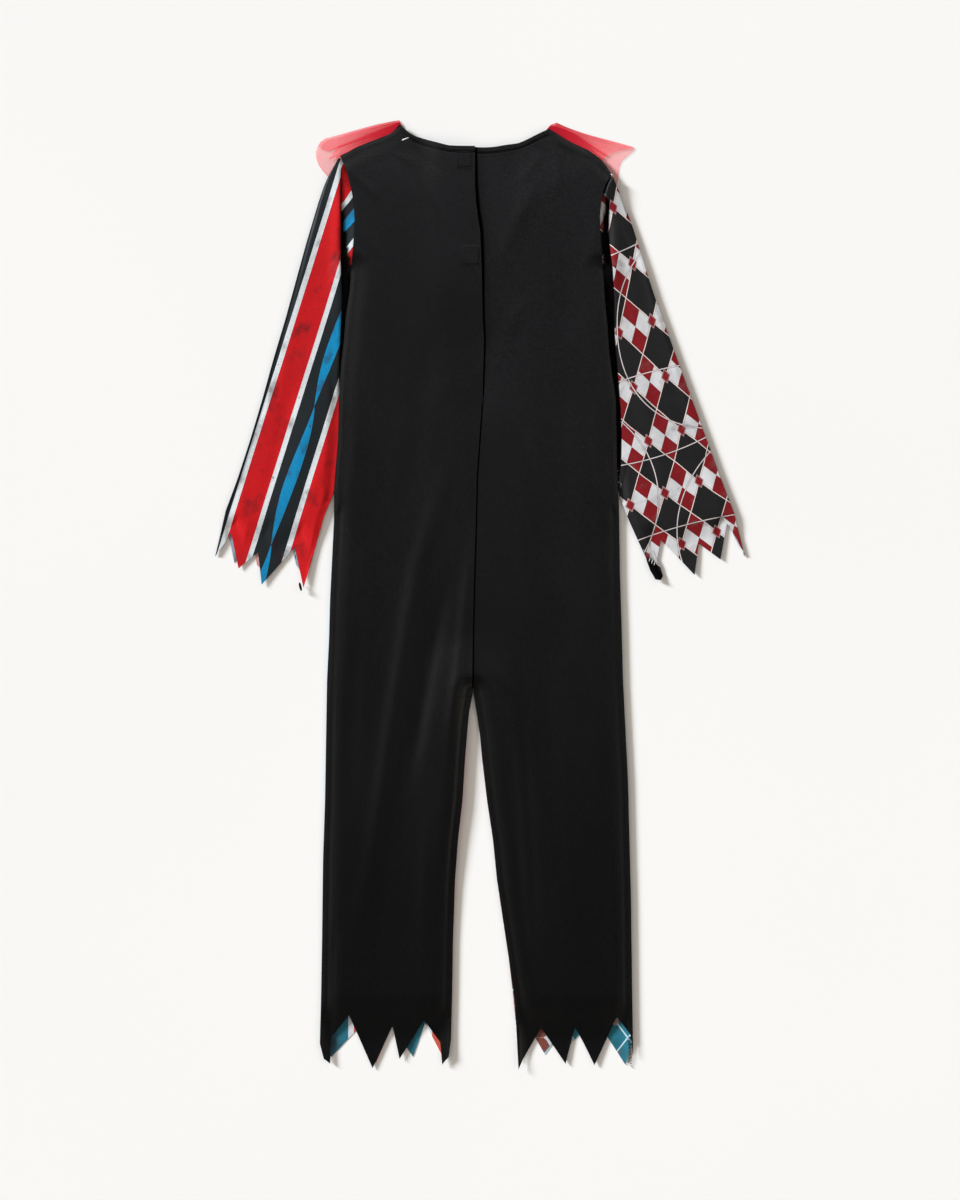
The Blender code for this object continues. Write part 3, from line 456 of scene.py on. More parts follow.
NECK_DROP = 2.6  # how much lower a back lies at the neck edge
NECK_SLOPE = 70.0  # width of the slope down to it
NECK_PLY = 0.32  # rise of the turned neck edge
NECK_GROOVE = 0.22  # depth of the stitched groove below it
TAPE_PRESS = 0.3  # how far the tape shows through the flap
TAPE_MIDDLE = -12.0  # x of the tape, which keeps the neck edge up this far each way
TAPE_HOLDS = 32.0


def over_ruffle(x, y):
    """1 over the ruffle, falling to 0 past its free edge."""
    return fade((np.hypot(x - NECK_X, y - NECK_Y) - RUFFLE_FROM) / RUFFLE_FALL)


def from_side(x, y, on_left):
    """Distance in from the side edge of the body."""
    return x - along(left_side, y) if on_left else along(right_side, y) - x


def from_leg_edge(x, y, on_left):
    """Distance out from the inner leg edge, and from the crotch above it."""
    off = along(left_inseam, y) - x if on_left else x - along(right_inseam, y)
    return np.hypot(np.maximum(0.0, off), np.maximum(0.0, y - CROTCH_Y))


def leg_curl(y, on_left):
    """How far an inner leg edge stands off the table."""
    return INNER_CURL + (LEG_CURL * smooth((y - LEG_CURL_FROM) / 200.0) if on_left else 0.0)


def front_under(x, y, on_left):
    """Height of a front's underside."""
    flat = TUCK_WIDE * smooth((y - TUCK_FROM) / 30.0)
    rise = SIDE_CURL + (TUCK_RISE - SIDE_CURL) * smooth((y - 80.0) / 40.0)
    at_side = fade((from_side(x, y, on_left) - flat) / FRONT_ROLL)
    at_inner = fade(from_leg_edge(x, y, on_left) / LEG_ROLL)
    ruffle = over_ruffle(x, y)
    lift = np.maximum(RUFFLE_RISE * ruffle, rise * at_side)
    return np.maximum(lift, leg_curl(y, on_left) * at_inner) + 0.3 * ruffle * at_side


def seam_distance(x, y, on_left):
    """Distance to the nearest seam that joins a front to a back."""
    side = along(left_side if on_left else right_side, y)
    to_side = np.hypot(x - side, np.maximum(0.0, y - UNDERARM_Y))
    inner = along(left_inseam if on_left else right_inseam, y)
    to_inner = np.hypot(x - inner, np.maximum(0.0, y - CROTCH_Y))
    shoulder = LEFT_SHOULDER if on_left else RIGHT_SHOULDER
    past_neck = x - LEFT_SHOULDER[-1][0] if on_left else RIGHT_SHOULDER[0][0] - x
    to_shoulder = np.hypot(along(shoulder, x) - y, np.maximum(0.0, past_neck))
    return np.minimum(np.minimum(to_side, to_inner), to_shoulder)


def back_under(x, y, on_left):
    """What a back lies on: the front's underside with its steps drawn out soft."""
    under = front_under(x, y, on_left)
    rise = SIDE_CURL + (TUCK_RISE - SIDE_CURL) * smooth((y - 60.0) / 80.0)
    at_side = rise * fade(from_side(x, y, on_left) / BACK_ROLL)
    away = np.hypot(x - NECK_X, y - NECK_Y)
    at_neck = RUFFLE_RISE * fade((away - BRIDGE_FROM) / BRIDGE_WIDE)
    at_inner = leg_curl(y, on_left) * fade(from_leg_edge(x, y, on_left) / BACK_ROLL)
    at_side = np.maximum(at_side, at_inner)
    soft = 0.5 * (at_side + at_neck + np.hypot(at_side - at_neck, 0.5) - 0.5)
    near = fade(seam_distance(x, y, on_left) / CLOSE_STRIP)
    return soft + (under - soft) * near


def gap(x, y, on_left):
    """Air between a front and the back over it."""
    open_gap = LOFT_GAP + ridges(x, y, BACK_FOLDS)
    if on_left:
        for lift, from_x, wide, from_y, tall in FLAP_LIFTS:
            open_gap += lift * smooth((x - from_x) / wide) * smooth((y - from_y) / tall)
    open_gap = np.clip(open_gap, LEAST_GAP, MOST_GAP + 1.0)
    closed = SEAM + (open_gap - SEAM) * smooth(seam_distance(x, y, on_left) / EDGE_ROUND)
    if on_left:
        return closed
    under_flap = smooth((y - FLAP_LOW) / FLAP_RISE)
    under_flap *= fade((x - along(opening, y) - FLAP_IN) / FLAP_EASE)
    return closed + (FLAP_GAP - closed) * under_flap


def back_height(x, y, on_left):
    """Height of the outer face of a back, closed down on the front at its seams."""
    top = back_under(x, y, on_left) + 2.0 * CLOTH + gap(x, y, on_left)
    return top - CLOSE_DOWN * fade(seam_distance(x, y, on_left) / SEAM_PINCH)


def from_neck(x, y, on_left):
    """Distance below the cut edge of the neck."""
    line = NECK_LEFT if on_left else NECK_RIGHT
    below = 0.93 * (along(line, x) - y)
    past = np.maximum(0.0, line[0][0] - x) if on_left else np.maximum(0.0, x - line[-1][0])
    return np.hypot(below, past)


def pressed(x, y, left, right, low, high):
    """1 over a rectangle, easing to 0 just past its edges."""
    inside = 1.0
    for off in (x - left, right - x, y - low, high - y):
        inside = inside * smooth(off / PRESS_EDGE + 0.5)
    return inside


def back_top(x, y, on_left):
    """Height of a back with its creases, the turned neck edge and its stitched groove."""
    top = back_height(x, y, on_left)
    top = top + ridges(x, y, BACK_CREASES) * smooth(seam_distance(x, y, on_left) / 9.0)
    if on_left:
        for pad in TAPE_PADS:
            top = top + TAPE_PRESS * pressed(x, y, *pad)
        (tack_x, tack_y), _ = TACK
        away = np.hypot(x - tack_x - 4.4, (y - tack_y) * 1.8)
        top = top - TACK_DEPTH * np.exp(-((away / TACK_WIDE) ** 2))
    away = from_neck(x, y, on_left)
    to_seam = seam_distance(x, y, on_left)
    clear_of_tape = smooth((np.abs(x - TAPE_MIDDLE) - TAPE_HOLDS) / 30.0)
    top = top - NECK_DROP * fade(away / NECK_SLOPE) * smooth(to_seam / 30.0) * clear_of_tape
    top = top + NECK_PLY * fade((away - NECK_HEM + 1.2) / 1.4)
    return top - NECK_GROOVE * np.exp(-(((away - NECK_HEM - 1.2) / 1.1) ** 2))


def front_height(x, y, on_left):
    """Height of the inner, upper face of a front, drawn up to the back at its seams."""
    drawn = DRAW_UP * fade(seam_distance(x, y, on_left) / SEAM_PINCH)
    return front_under(x, y, on_left) + SHELL + OFF_TABLE + drawn


# ---------------------------------------------------------------- meshes


def put(name, data):
    """A new object in the scene."""
    made = bpy.data.objects.new(name, data)
    bpy.context.scene.collection.objects.link(made)
    return made


def shell(name, line_x, line_y, line_z, coords, looks, thickness=SHELL):
    """Cloth of some thickness under a grid of surface points in mm; 0 is a bare net.

    The first look covers the grid's own face and the rim, the second the
    face below. coords holds where each point is on the flat cloth, in mm.
    """
    points = np.stack([line_x, line_y, line_z], axis=-1)
    rows, columns = line_x.shape
    normal = np.cross(np.gradient(points, axis=0), np.gradient(points, axis=1))
    normal /= np.maximum(np.linalg.norm(normal, axis=-1, keepdims=True), 1e-9)
    inner = points - normal * thickness
    inner[..., 2] = np.maximum(inner[..., 2], OFF_TABLE)
    count = rows * columns
    index = np.arange(count).reshape(rows, columns)
    left, right = index[:, :-1], index[:, 1:]
    faces = np.stack([left[:-1], left[1:], right[1:], right[:-1]], axis=-1).reshape(-1, 4)
    vertices = points.reshape(-1, 3) * MM
    own = len(faces)
    if thickness:
        rims = []
        ends = ((index[0], True), (index[-1], False), (index[:, 0], False), (index[:, -1], True))
        for line, turned in ends:
            quad = [line[:-1], line[:-1] + count, line[1:] + count, line[1:]]
            rims.append(np.stack(quad[::-1] if turned else quad, -1))
        faces = np.concatenate([faces, faces[:, ::-1] + count] + rims)
        vertices = np.concatenate([points.reshape(-1, 3), inner.reshape(-1, 3)]) * MM
    mesh = bpy.data.meshes.new(name)
    mesh.vertices.add(len(vertices))
    mesh.vertices.foreach_set("co", vertices.astype(np.float32).ravel())
    mesh.loops.add(len(faces) * 4)
    mesh.loops.foreach_set("vertex_index", faces.astype(np.int32).ravel())
    mesh.polygons.add(len(faces))
    mesh.polygons.foreach_set("loop_start", np.arange(0, len(faces) * 4, 4, dtype=np.int32))
    side = np.zeros(len(faces), np.int32)
    side[own : 2 * own] = len(looks) - 1
    for look in looks:
        mesh.materials.append(look)
    mesh.update(calc_edges=True)
    mesh.polygons.foreach_set("material_index", side)
    place = mesh.attributes.new("cloth_mm", "FLOAT_VECTOR", "POINT")
    flat = np.zeros((rows, columns, 3), np.float32)
    flat[..., : coords.shape[-1]] = coords
    flat = flat.reshape(-1, 3)
    place.data.foreach_set("vector", np.concatenate([flat, flat])[: len(vertices)].ravel())
    mesh.validate()
    mesh.shade_smooth()
    mesh.set_sharp_from_angle(angle=math.radians(50.0))
    return put(name, mesh)


def refined(values, times, corner=None):
    """Rows of a table with more rows between, on soft curves that keep one corner."""
    values = np.array(values, float)
    parts = [(0, corner), (corner, len(values) - 1)] if corner else [(0, len(values) - 1)]
    made = []
    for first, last in parts:
        part = values[first : last + 1]
        ends = np.concatenate([2 * part[:1] - part[1:2], part, 2 * part[-1:] - part[-2:-1]])
        for k in range(len(part) - 1):
            a, b, c, d = ends[k : k + 4]
            for t in np.arange(times) / times:
                linear = b + t * (c - b)
                slope_in, slope_out = 0.5 * (c - a), 0.5 * (d - b)
                soft = (2 * t**3 - 3 * t**2 + 1) * b + (t**3 - 2 * t**2 + t) * slope_in
                soft += (3 * t**2 - 2 * t**3) * c + (t**3 - t**2) * slope_out
                made.append(np.r_[soft[:2], linear[2:]])
    made.append(values[-1])
    return np.array(made)


def panel_plan(name, columns, left_edge, right_edge, arm_edge, times, pitch):
    """Plan of a panel as rows of x and y, and how far down the hem zone each row is."""
    table = refined(columns, times, NECK_POINT[name])
    top_x, top_y, hem_x, hem_y, lift, chest = table.T
    hem_share = (hem_x - hem_x[0]) / (hem_x[-1] - hem_x[0])
    arm_top = arm_edge[0][0]
    high = arm_top - UNDERARM_Y
    steps = np.r_[np.arange(0.0, 12.0), np.arange(12.0, high - 0.5 * pitch, pitch)]
    down = (steps / high)[:, None]
    low_y = top_y[0] + down * (UNDERARM_Y - top_y[0])
    high_y = top_y[-1] + down * (UNDERARM_Y - top_y[-1])
    y = top_y + down * (UNDERARM_Y - top_y)
    low_join, high_join = along(left_edge, UNDERARM_Y), along(right_edge, UNDERARM_Y)
    x = top_x + down * (low_join + chest * (high_join - low_join) - top_x)
    off_low = along(left_edge, low_y) - (top_x[0] + down * (low_join - top_x[0]))
    off_high = along(right_edge, high_y) - (top_x[-1] + down * (high_join - top_x[-1]))
    x = x + np.maximum(0.0, 1.0 - 2.2 * chest) * off_low
    x = x + np.maximum(0.0, 2.2 * chest - 1.2) * off_high
    count = int((UNDERARM_Y - LAST_ROW_Y) / pitch)
    body_y = np.linspace(UNDERARM_Y, LAST_ROW_Y, count)[:, None]
    share = (UNDERARM_Y - body_y) / (UNDERARM_Y - LAST_ROW_Y)
    across = chest + share * (hem_share - chest)
    low, high = along(left_edge, body_y), along(right_edge, body_y)
    body_x = low + across * (high - low)
    body_y = np.broadcast_to(body_y, body_x.shape)
    count = int(HEM_ZONE / pitch)
    reach = (np.arange(1, count + 1) / count)[:, None]
    hem_zone_x = body_x[-1] + reach * (hem_x - body_x[-1])
    hem_zone_y = body_y[-1] + reach * (hem_y - body_y[-1])
    fall = np.concatenate([np.zeros((len(y) + len(body_y), 1)), reach])
    return (
        np.concatenate([x, body_x, hem_zone_x]),
        np.concatenate([y, body_y, hem_zone_y]),
        fall * fall * lift,
    )


# ---------------------------------------------------------------- materials


class Nodes:
    """Short ways to wire a node tree."""

    def __init__(self, tree):
        self.tree = tree

    def node(self, kind, inputs=(), **settings):
        made = self.tree.nodes.new(kind)
        for key, value in settings.items():
            setattr(made, key, value)
        for socket, value in dict(inputs).items():
            self.plug(value, made.inputs[socket])
        return made

    def plug(self, value, socket):
        if isinstance(value, bpy.types.NodeSocket):
            self.tree.links.new(value, socket)
        else:
            socket.default_value = value

    def math(self, operation, a, b=0.0, c=0.0):
        return self.node("ShaderNodeMath", {0: a, 1: b, 2: c}, operation=operation).outputs[0]

    times = partialmethod(math, "MULTIPLY")
    times_plus = partialmethod(math, "MULTIPLY_ADD")
    plus = partialmethod(math, "ADD")
    minus = partialmethod(math, "SUBTRACT")
    absolute = partialmethod(math, "ABSOLUTE")
    below = partialmethod(math, "LESS_THAN")
    above = partialmethod(math, "GREATER_THAN")

    def vector(self, operation, a, b):
        return self.node("ShaderNodeVectorMath", {0: a, 1: b}, operation=operation)

    def mix(self, factor, a, b, blend="MIX"):
        inputs = {0: factor, 6: a, 7: b}
        return self.node("ShaderNodeMix", inputs, data_type="RGBA", blend_type=blend).outputs[2]

    def ramp(self, value, stops, steps=False):
        """Colour ramp: stops are (place, colour); steps has hard edges."""
        made = self.node("ShaderNodeValToRGB", {0: value})
        ramp = made.color_ramp
        ramp.interpolation = "CONSTANT" if steps else "LINEAR"
        while len(ramp.elements) < len(stops):
            ramp.elements.new(1.0)
        for element, (place, colour) in zip(ramp.elements, stops):
            element.position = place
            element.color = colour
        return made.outputs[0]

    def band(self, value, low, high):
        """0 to 1 as value goes from low to high."""
        made = self.node("ShaderNodeMapRange", {0: value, 1: low, 2: high, 3: 0.0, 4: 1.0})
        return made.outputs[0]

    def place_on_object(self):
        """Where the point is on its object, in metres."""
        return self.node("ShaderNodeTexCoord").outputs["Object"]

    def noise(self, vector, scale, detail=3.0, stretch=(1.0, 1.0, 1.0)):
        """Noise of about one feature per scale, in the unit of the vector."""
        place = self.vector("MULTIPLY", vector, [part / scale for part in stretch])
        inputs = {"Vector": place.outputs[0], "Detail": detail, "Scale": 1.0}
        return self.node("ShaderNodeTexNoise", inputs).outputs["Fac"]


class Look(Nodes):
    """A Principled material."""

    def __init__(self, name, **settings):
        self.made = bpy.data.materials.new(name)
        self.made.use_nodes = True
        super().__init__(self.made.node_tree)
        self.shader = self.tree.nodes["Principled BSDF"]
        for socket, value in settings.items():
            self.give(socket.replace("_", " "), value)

    def give(self, socket, value):
        """Set or link one input of the shader."""
        self.plug(value, self.shader.inputs[socket])

    def place(self):
        """Where the point is on the flat cloth, as separate values in mm."""
        at = self.node("ShaderNodeAttribute", attribute_name="cloth_mm")
        parts = self.node("ShaderNodeSeparateXYZ", {0: at.outputs["Vector"]})
        # The third value is no place: painted shade on a sleeve, the distance from the opening in
        # widths of its painted shadow on a back, the net's density, or -1 where a print is plain.
        self.depth = parts.outputs[2]
        return at.outputs["Vector"], parts.outputs[0], parts.outputs[1]

    def bump(self, height, strength, distance_mm):
        inputs = {"Height": height, "Strength": strength, "Distance": distance_mm * MM}
        self.give("Normal", self.node("ShaderNodeBump", inputs).outputs[0])

    def tricot(self, x, y, strength, distance_mm):
        """Fine knit: upright wales of small slanting stitches."""
        wale = self.math("SINE", self.times(x, 2.0 * math.pi / WALE_MM))
        slant = self.absolute(wale)
        stitch = self.math("SINE", self.times_plus(y, 2.0 * math.pi / COURSE_MM, slant))
        self.bump(self.times_plus(stitch, 0.35, wale), strength, distance_mm)

    def printed(self, base, shade, x, y):
        """Finish a print: mottled, then painted shade deep in a fold, which darkens it and takes its
        shine away.
        """
        base = self.mix(1.0, base, shade, "MULTIPLY")
        # painted shade: the print loses its shine and its colour where the third cloth value is high
        lit = self.math("MINIMUM", 1.0, self.minus(1.0, self.depth))
        self.give("Specular IOR Level", self.times(lit, PRINT_SHINE))
        base = self.mix(self.times(self.depth, FOLD_PAINTED_SHADE), base, grey(0.002))
        self.give("Base Color", base)
        self.tricot(x, y, 0.2, 0.1)
        return self.made


def grey(value):
    return (value, value, value, 1.0)


def srgb(red, green, blue):
    """Linear colour of 8-bit display values."""
    parts = [c / 255.0 for c in (red, green, blue)]
    linear = [c / 12.92 if c <= 0.04045 else ((c + 0.055) / 1.055) ** 2.4 for c in parts]
    return (*linear, 1.0)


def toward(pale, share, *colours):
    """Colours moved a share of the way to a pale one."""
    return [tuple(c + share * (p - c) for c, p in zip(colour, pale)) for colour in colours]


WALE_MM = 0.9  # pitch of the knit's upright ribs
COURSE_MM = 0.7  # pitch of its stitches
KNIT_DARK = (0.0005, 0.0005, 0.0006, 1.0)
KNIT_LIGHT = (0.001, 0.001, 0.0012, 1.0)
PRINT = {"Roughness": 0.55, "Sheen_Weight": 0.03, "Sheen_Roughness": 0.4}
PRINT_SHINE = 0.18
FOLD_PAINTED_SHADE = 0.996  # share of the colour that painted shade takes away deep in a fold


def black_knit():
    """Fine knit with a low shine, taken away as painted shadow beside the opening and painted shade
    along the seam below it.
    """
    look = Look("black_knit", Roughness=0.25, Sheen_Weight=0.002, Sheen_Roughness=0.4)
    vector, x, y = look.place()
    cloud = look.noise(vector, 55.0, 4.0, (1.0, 0.45, 1.0))
    thread = look.noise(vector, 1.5, 2.0, (1.0, 0.6, 1.0))
    tone = look.times_plus(thread, 0.45, cloud)
    colour = look.ramp(tone, [(0.45, KNIT_DARK), (0.95, KNIT_LIGHT)])
    look.give("Base Color", colour)
    gloss = look.times_plus(thread, 0.85, 0.08)
    gloss = look.times_plus(cloud, 0.14, gloss)
    # painted shadow and seam shade: no shine near the opening's line
    lit = look.band(look.absolute(look.depth), 0.7, 1.4)
    look.give("Specular IOR Level", look.times(gloss, lit))
    look.tricot(x, y, 0.25, 0.12)
    return look.made


# Widths of the striped prints across one repeat, in mm
SLEEVE_STRIPES = (6.0, 29.5, 6.0, 34.5)  # white, red, white, dark
SLEEVE_FIRST = 2.2  # dark edge before the first white stripe
LEG_STRIPES = (6.5, 41.0, 5.0, 41.5)
LEG_FIRST = -158.4
STRIPE_COLOURS = [
    # white, red, dark, blue: the right side, then the wrong side
    [(212, 219, 224), (196, 14, 22), (22, 31, 35), (6, 132, 184)],
    [(214, 222, 230), (200, 88, 70), (40, 112, 132), (40, 100, 118)],
]
STRIPE_WAVER = 0.8  # how far the stripes stray
SPINDLE_HALF = 7.2  # half the width of a spindle
SPINDLE_LONG = 174.0
SPINDLE_LEAN = 0.72  # its side by the body is widest early, the other late
SPINDLE_PINCH = 122.0  # how far down the sleeve one pinch is
SPINDLE_CLEAR = 20.0  # none of them this near the sleeve's outer edge


def striped_print(name, widths, first, inside=False, faded=0.0):
    """Lengthwise stripes: white, red, white, then dark with a blue spindle row."""
    look = Look(name, **PRINT)
    vector, x, y = look.place()
    white, red, dark, blue = [srgb(*colour) for colour in STRIPE_COLOURS[inside]]
    red, dark = toward(srgb(214, 222, 232), faded, red, dark)
    repeat = sum(widths)
    waver = look.noise(vector, 60.0, 1.0, (1.0, 0.5, 1.0))
    across = look.times_plus(waver, 2.0 * STRIPE_WAVER, look.minus(x, STRIPE_WAVER + first))
    part = look.math("FRACT", look.math("DIVIDE", across, repeat))
    edges = np.cumsum([0.0, *widths[:3]]) / repeat
    base = look.ramp(part, list(zip(edges, (white, red, white, dark))), steps=True)
    middle = (sum(widths[:3]) + 0.5 * widths[3]) / repeat
    off = look.minus(part, middle)
    swing = look.math("DIVIDE", look.minus(y, SPINDLE_PINCH), SPINDLE_LONG)
    swing = look.math("FRACT", swing)
    in_spindle = look.above(look.absolute(x), SPINDLE_CLEAR)
    for lean, sign in ((SPINDLE_LEAN, 1.0), (1.0 / SPINDLE_LEAN, -1.0)):
        leaning = look.times(look.math("POWER", swing, lean), math.pi)
        wide = look.times(look.math("SINE", leaning), SPINDLE_HALF / repeat)
        within = look.below(look.times(off, sign), wide)
        in_spindle = look.times(in_spindle, within)
    base = look.mix(in_spindle, base, blue)
    mottle = look.noise(vector, 26.0, 5.0, (1.0, 0.6, 1.0))
    worn = look.band(mottle, 0.56, 0.78)
    base = look.mix(look.times(worn, 0.45), base, srgb(44, 22, 34))
    smudge = look.band(look.noise(vector, 30.0, 6.0, (1.3, 0.8, 1.0)), 0.54, 0.68)
    speck = look.band(look.noise(vector, 6.0, 2.0), 0.68, 0.74)
    smudge = look.times(smudge, 0.6)
    smudge = look.math("MAXIMUM", smudge, look.times(speck, 0.6))
    base = look.mix(smudge, base, srgb(40, 16, 24))
    broad = look.noise(vector, 42.0, 3.0, (1.0, 0.6, 1.0))
    depth_of = look.ramp(broad, [(0.32, grey(0.78)), (0.56, grey(1.0))])
    base = look.mix(0.7, base, depth_of, "MULTIPLY")
    grain = look.noise(vector, 3.0, 4.0)
    shade = look.ramp(grain, [(0.3, grey(0.82)), (0.7, grey(1.0))])
    return look.printed(base, shade, x, y)


# Lozenge lattice of the harlequin print, in mm across (towards the body) and down
LOZENGE_COLOURS = [
    # white, red, dark, lines: the right side, then the wrong side
    [(200, 201, 205), (122, 16, 24), (24, 24, 26), (222, 205, 200)],
    [(200, 206, 212), (120, 66, 58), (36, 104, 122), (176, 204, 214)],
]
LOZENGE_HALF_WIDE = 21.0
LOZENGE_HALF_TALL = 33.0
LOZENGE_LINE = 1.0
LOZENGE_SQUARE = 0.108  # half of a red square, in steps of the lattice
LOZENGE_COLUMN = 12.0  # first column of squares, in from the sleeve's outer edge
LOZENGE_ROWS = [
    # down the sleeve, down the print
    (0, 18), (108, 118), (181, 184), (249, 250), (315.5, 316), (381, 382), (445, 448),
    (520, 524),
]
LOZENGE_FIRST_ROW = 250.0
LOZENGE_SLANT = 0.84  # width of a line across, for its width square to itself
LINE_SHADOW = 2.6  # width of the dark band under the lines, in lines
SQUARE_RIM = 0.03
ARC_HALF = 0.55
ARC_RIM_HALF = 1.1
# Thin curved lines over the lozenges: middle across, middle down, radius
PRINT_ARCS = [
    (160, 70, 104), (-70, 214, 118), (172, 352, 126), (-84, 470, 132), (36, -300, 402),
    (52, 700, 462), (24, 2, 336), (70, 900, 474),
]


def harlequin_print(name, inside=False, line=LOZENGE_LINE, faded=0.0):
    """Black lozenges between lozenges quartered in red and white."""
    look = Look(name, **PRINT)
    vector, x, y = look.place()
    white, red, dark, pale = [srgb(*colour) for colour in LOZENGE_COLOURS[inside]]
    red, dark = toward(srgb(168, 188, 196), faded, red, dark)
    wide, tall = 2.0 * LOZENGE_HALF_WIDE, 2.0 * LOZENGE_HALF_TALL
    across = look.math("DIVIDE", x, wide)
    down = look.math("DIVIDE", look.minus(y, LOZENGE_FIRST_ROW), tall)
    waver = look.noise(vector, 45.0, 1.0)
    across = look.times_plus(waver, 0.09, look.minus(across, 0.045))
    a = look.minus(down, across)
    b = look.plus(down, across)
    sum_of = look.plus(look.math("FLOOR", a), look.math("FLOOR", b))
    odd = look.absolute(look.math("MODULO", sum_of, 2.0))
    halves = [look.above(look.math("FRACT", step), 0.5) for step in (a, b)]
    is_white = look.math("COMPARE", look.plus(*halves), 1.0, 0.25)
    quartered = look.mix(is_white, red, white)
    plain = look.below(look.depth, -0.5)
    base = look.mix(look.times(odd, look.minus(1.0, plain)), dark, quartered)
    near = [look.absolute(look.minus(step, look.math("ROUND", step))) for step in (a, b)]
    nearest = look.math("MINIMUM", *near)
    line_half = 0.5 * line / (2.0 * LOZENGE_HALF_WIDE * LOZENGE_SLANT)
    shadow = look.below(nearest, LINE_SHADOW * line_half)
    base = look.mix(look.times(shadow, 0.35), base, dark)
    base = look.mix(look.below(nearest, line_half), base, pale)
    node_sum = look.plus(look.math("ROUND", a), look.math("ROUND", b))
    even = look.below(look.absolute(look.math("MODULO", node_sum, 2.0)), 0.5)
    widest = look.math("MAXIMUM", *near)
    frame_of = look.below(widest, LOZENGE_SQUARE + SQUARE_RIM)
    base = look.mix(look.times(even, frame_of), base, srgb(150, 120, 122))
    square = look.below(widest, LOZENGE_SQUARE)
    squares = look.times(even, square)
    base = look.mix(look.times(squares, look.minus(1.0, plain)), base, red)
    for middle_x, middle_y, radius in () if inside else PRINT_ARCS:
        off_x, off_y = look.minus(x, middle_x), look.minus(y, middle_y)
        squares = look.plus(look.times(off_x, off_x), look.times(off_y, off_y))
        away = look.absolute(look.minus(look.math("SQRT", squares), radius))
        rim = look.times(look.below(away, ARC_RIM_HALF), 0.55)
        base = look.mix(rim, base, srgb(30, 28, 32))
        base = look.mix(look.below(away, ARC_HALF), base, srgb(206, 196, 198))
    mottle = look.noise(vector, 18.0, 5.0)
    shade = look.ramp(mottle, [(0.3, grey(0.80)), (0.62, grey(1.0))])
    smudge = look.band(look.noise(vector, 20.0, 6.0), 0.56, 0.72)
    smudge = look.times(smudge, look.times(odd, 0.5))
    base = look.mix(smudge, base, srgb(96, 84, 82))
    return look.printed(base, shade, x, y)


NET_COVER = 0.26  # share of the light that one ply stops
NET_HEM = 99.0  # where the free edge's last line of mesh starts, from the neck


def red_net():
    """Fine net: dense where it is gathered and deeper red there, partly as painted shade among its
    plies; faint at its free edge.
    """
    look = Look("red_net", Roughness=0.6, Specular_IOR_Level=0.15)
    vector, _, y = look.place()
    gathered = look.band(y, 80.0, 4.0)
    streak = look.noise(vector, 5.0, 3.0, (1.0, 0.05, 1.0))
    cloud = look.noise(vector, 24.0, 2.0)
    # deeper red near the neck: the denser gathered net, and painted shade among its many plies
    colour = look.mix(gathered, srgb(255, 66, 82), srgb(226, 14, 42))
    in_streak = look.band(streak, 0.50, 0.66)
    streaks = look.times(in_streak, look.times_plus(gathered, 0.5, 0.3))
    colour = look.mix(streaks, colour, srgb(120, 4, 22))
    colour = look.mix(look.times(look.depth, 0.75), colour, srgb(150, 8, 28))
    look.give("Base Color", colour)
    dense = look.times(in_streak, gathered)
    alpha = look.times_plus(dense, 0.3, NET_COVER)
    alpha = look.times_plus(gathered, 0.12, alpha)
    alpha = look.times_plus(cloud, 0.12, alpha)
    hem = look.above(y, NET_HEM)
    alpha = look.times_plus(hem, 0.12, alpha)
    alpha = look.times_plus(look.depth, 0.5, alpha)
    look.give("Alpha", alpha)
    return look.made


def thread(name, low, high, shine):
    """Spun thread: tone and a fine twist along it."""
    look = Look(name, Roughness=0.7, Specular_IOR_Level=shine)
    twist = look.noise(look.place_on_object(), 0.0005, 3.0)
    look.give("Base Color", look.ramp(twist, [(0.35, low), (0.65, high)]))
    look.bump(twist, 0.4, 0.1)
    return look.made


def black_tape():
    """Hook-and-loop tape with a short dull pile."""
    look = Look("black_tape", Roughness=0.85)
    pile = look.noise(look.place_on_object(), 0.0006, 2.0)
    colour = look.ramp(pile, [(0.3, grey(0.004)), (0.7, grey(0.02))])
    look.give("Base Color", colour)
    look.bump(pile, 0.6, 0.3)
    return look.made


# ---------------------------------------------------------------- panels

black = black_knit()
stripes = striped_print("striped_print", SLEEVE_STRIPES, SLEEVE_FIRST)
stripes_inside = striped_print("striped_print_wrong_side", SLEEVE_STRIPES, SLEEVE_FIRST, True, 0.35)
leg_stripes = striped_print("striped_print_leg", LEG_STRIPES, LEG_FIRST)
leg_stripes_inside = striped_print("striped_print_leg_wrong_side", LEG_STRIPES, LEG_FIRST, True)
harlequin = harlequin_print("harlequin_print")
harlequin_inside = harlequin_print("harlequin_print_wrong_side", True, 2.4)
harlequin_faded = harlequin_print("harlequin_print_sleeve_wrong_side", True, 2.4, 0.7)
net = red_net()
tape = black_tape()
dark_thread = thread("dark_thread", grey(0.0004), grey(0.003), 0.03)
pale_thread = thread("pale_thread", grey(0.45), grey(0.85), 0.3)


def leg_lattice(x, y):
    """Where the right leg's print lies, fitted to the lozenges that show at the hem."""
    across = np.interp(x, (78.0, 114.0, 162.6, 190.0), (-2.5, -1.1, 0.0, 0.91))
    down = 0.5 - (y + 531.6) / 38.4 + 0.5 * np.interp(x, (78.0, 162.6), (1.0, 0.0))
    flat_x = 2.0 * LOZENGE_HALF_WIDE * across
    flat_y = LOZENGE_FIRST_ROW + 2.0 * LOZENGE_HALF_TALL * down
    return np.stack([flat_x, flat_y], axis=-1)


FAR_OFF = 9.0  # where no part of a back gets the opening's painted shade
PLAIN_FROM = 150.0  # the right leg's print is plain from here to its side
EDGE_APART = 0.05  # the two backs stay this far from their common line


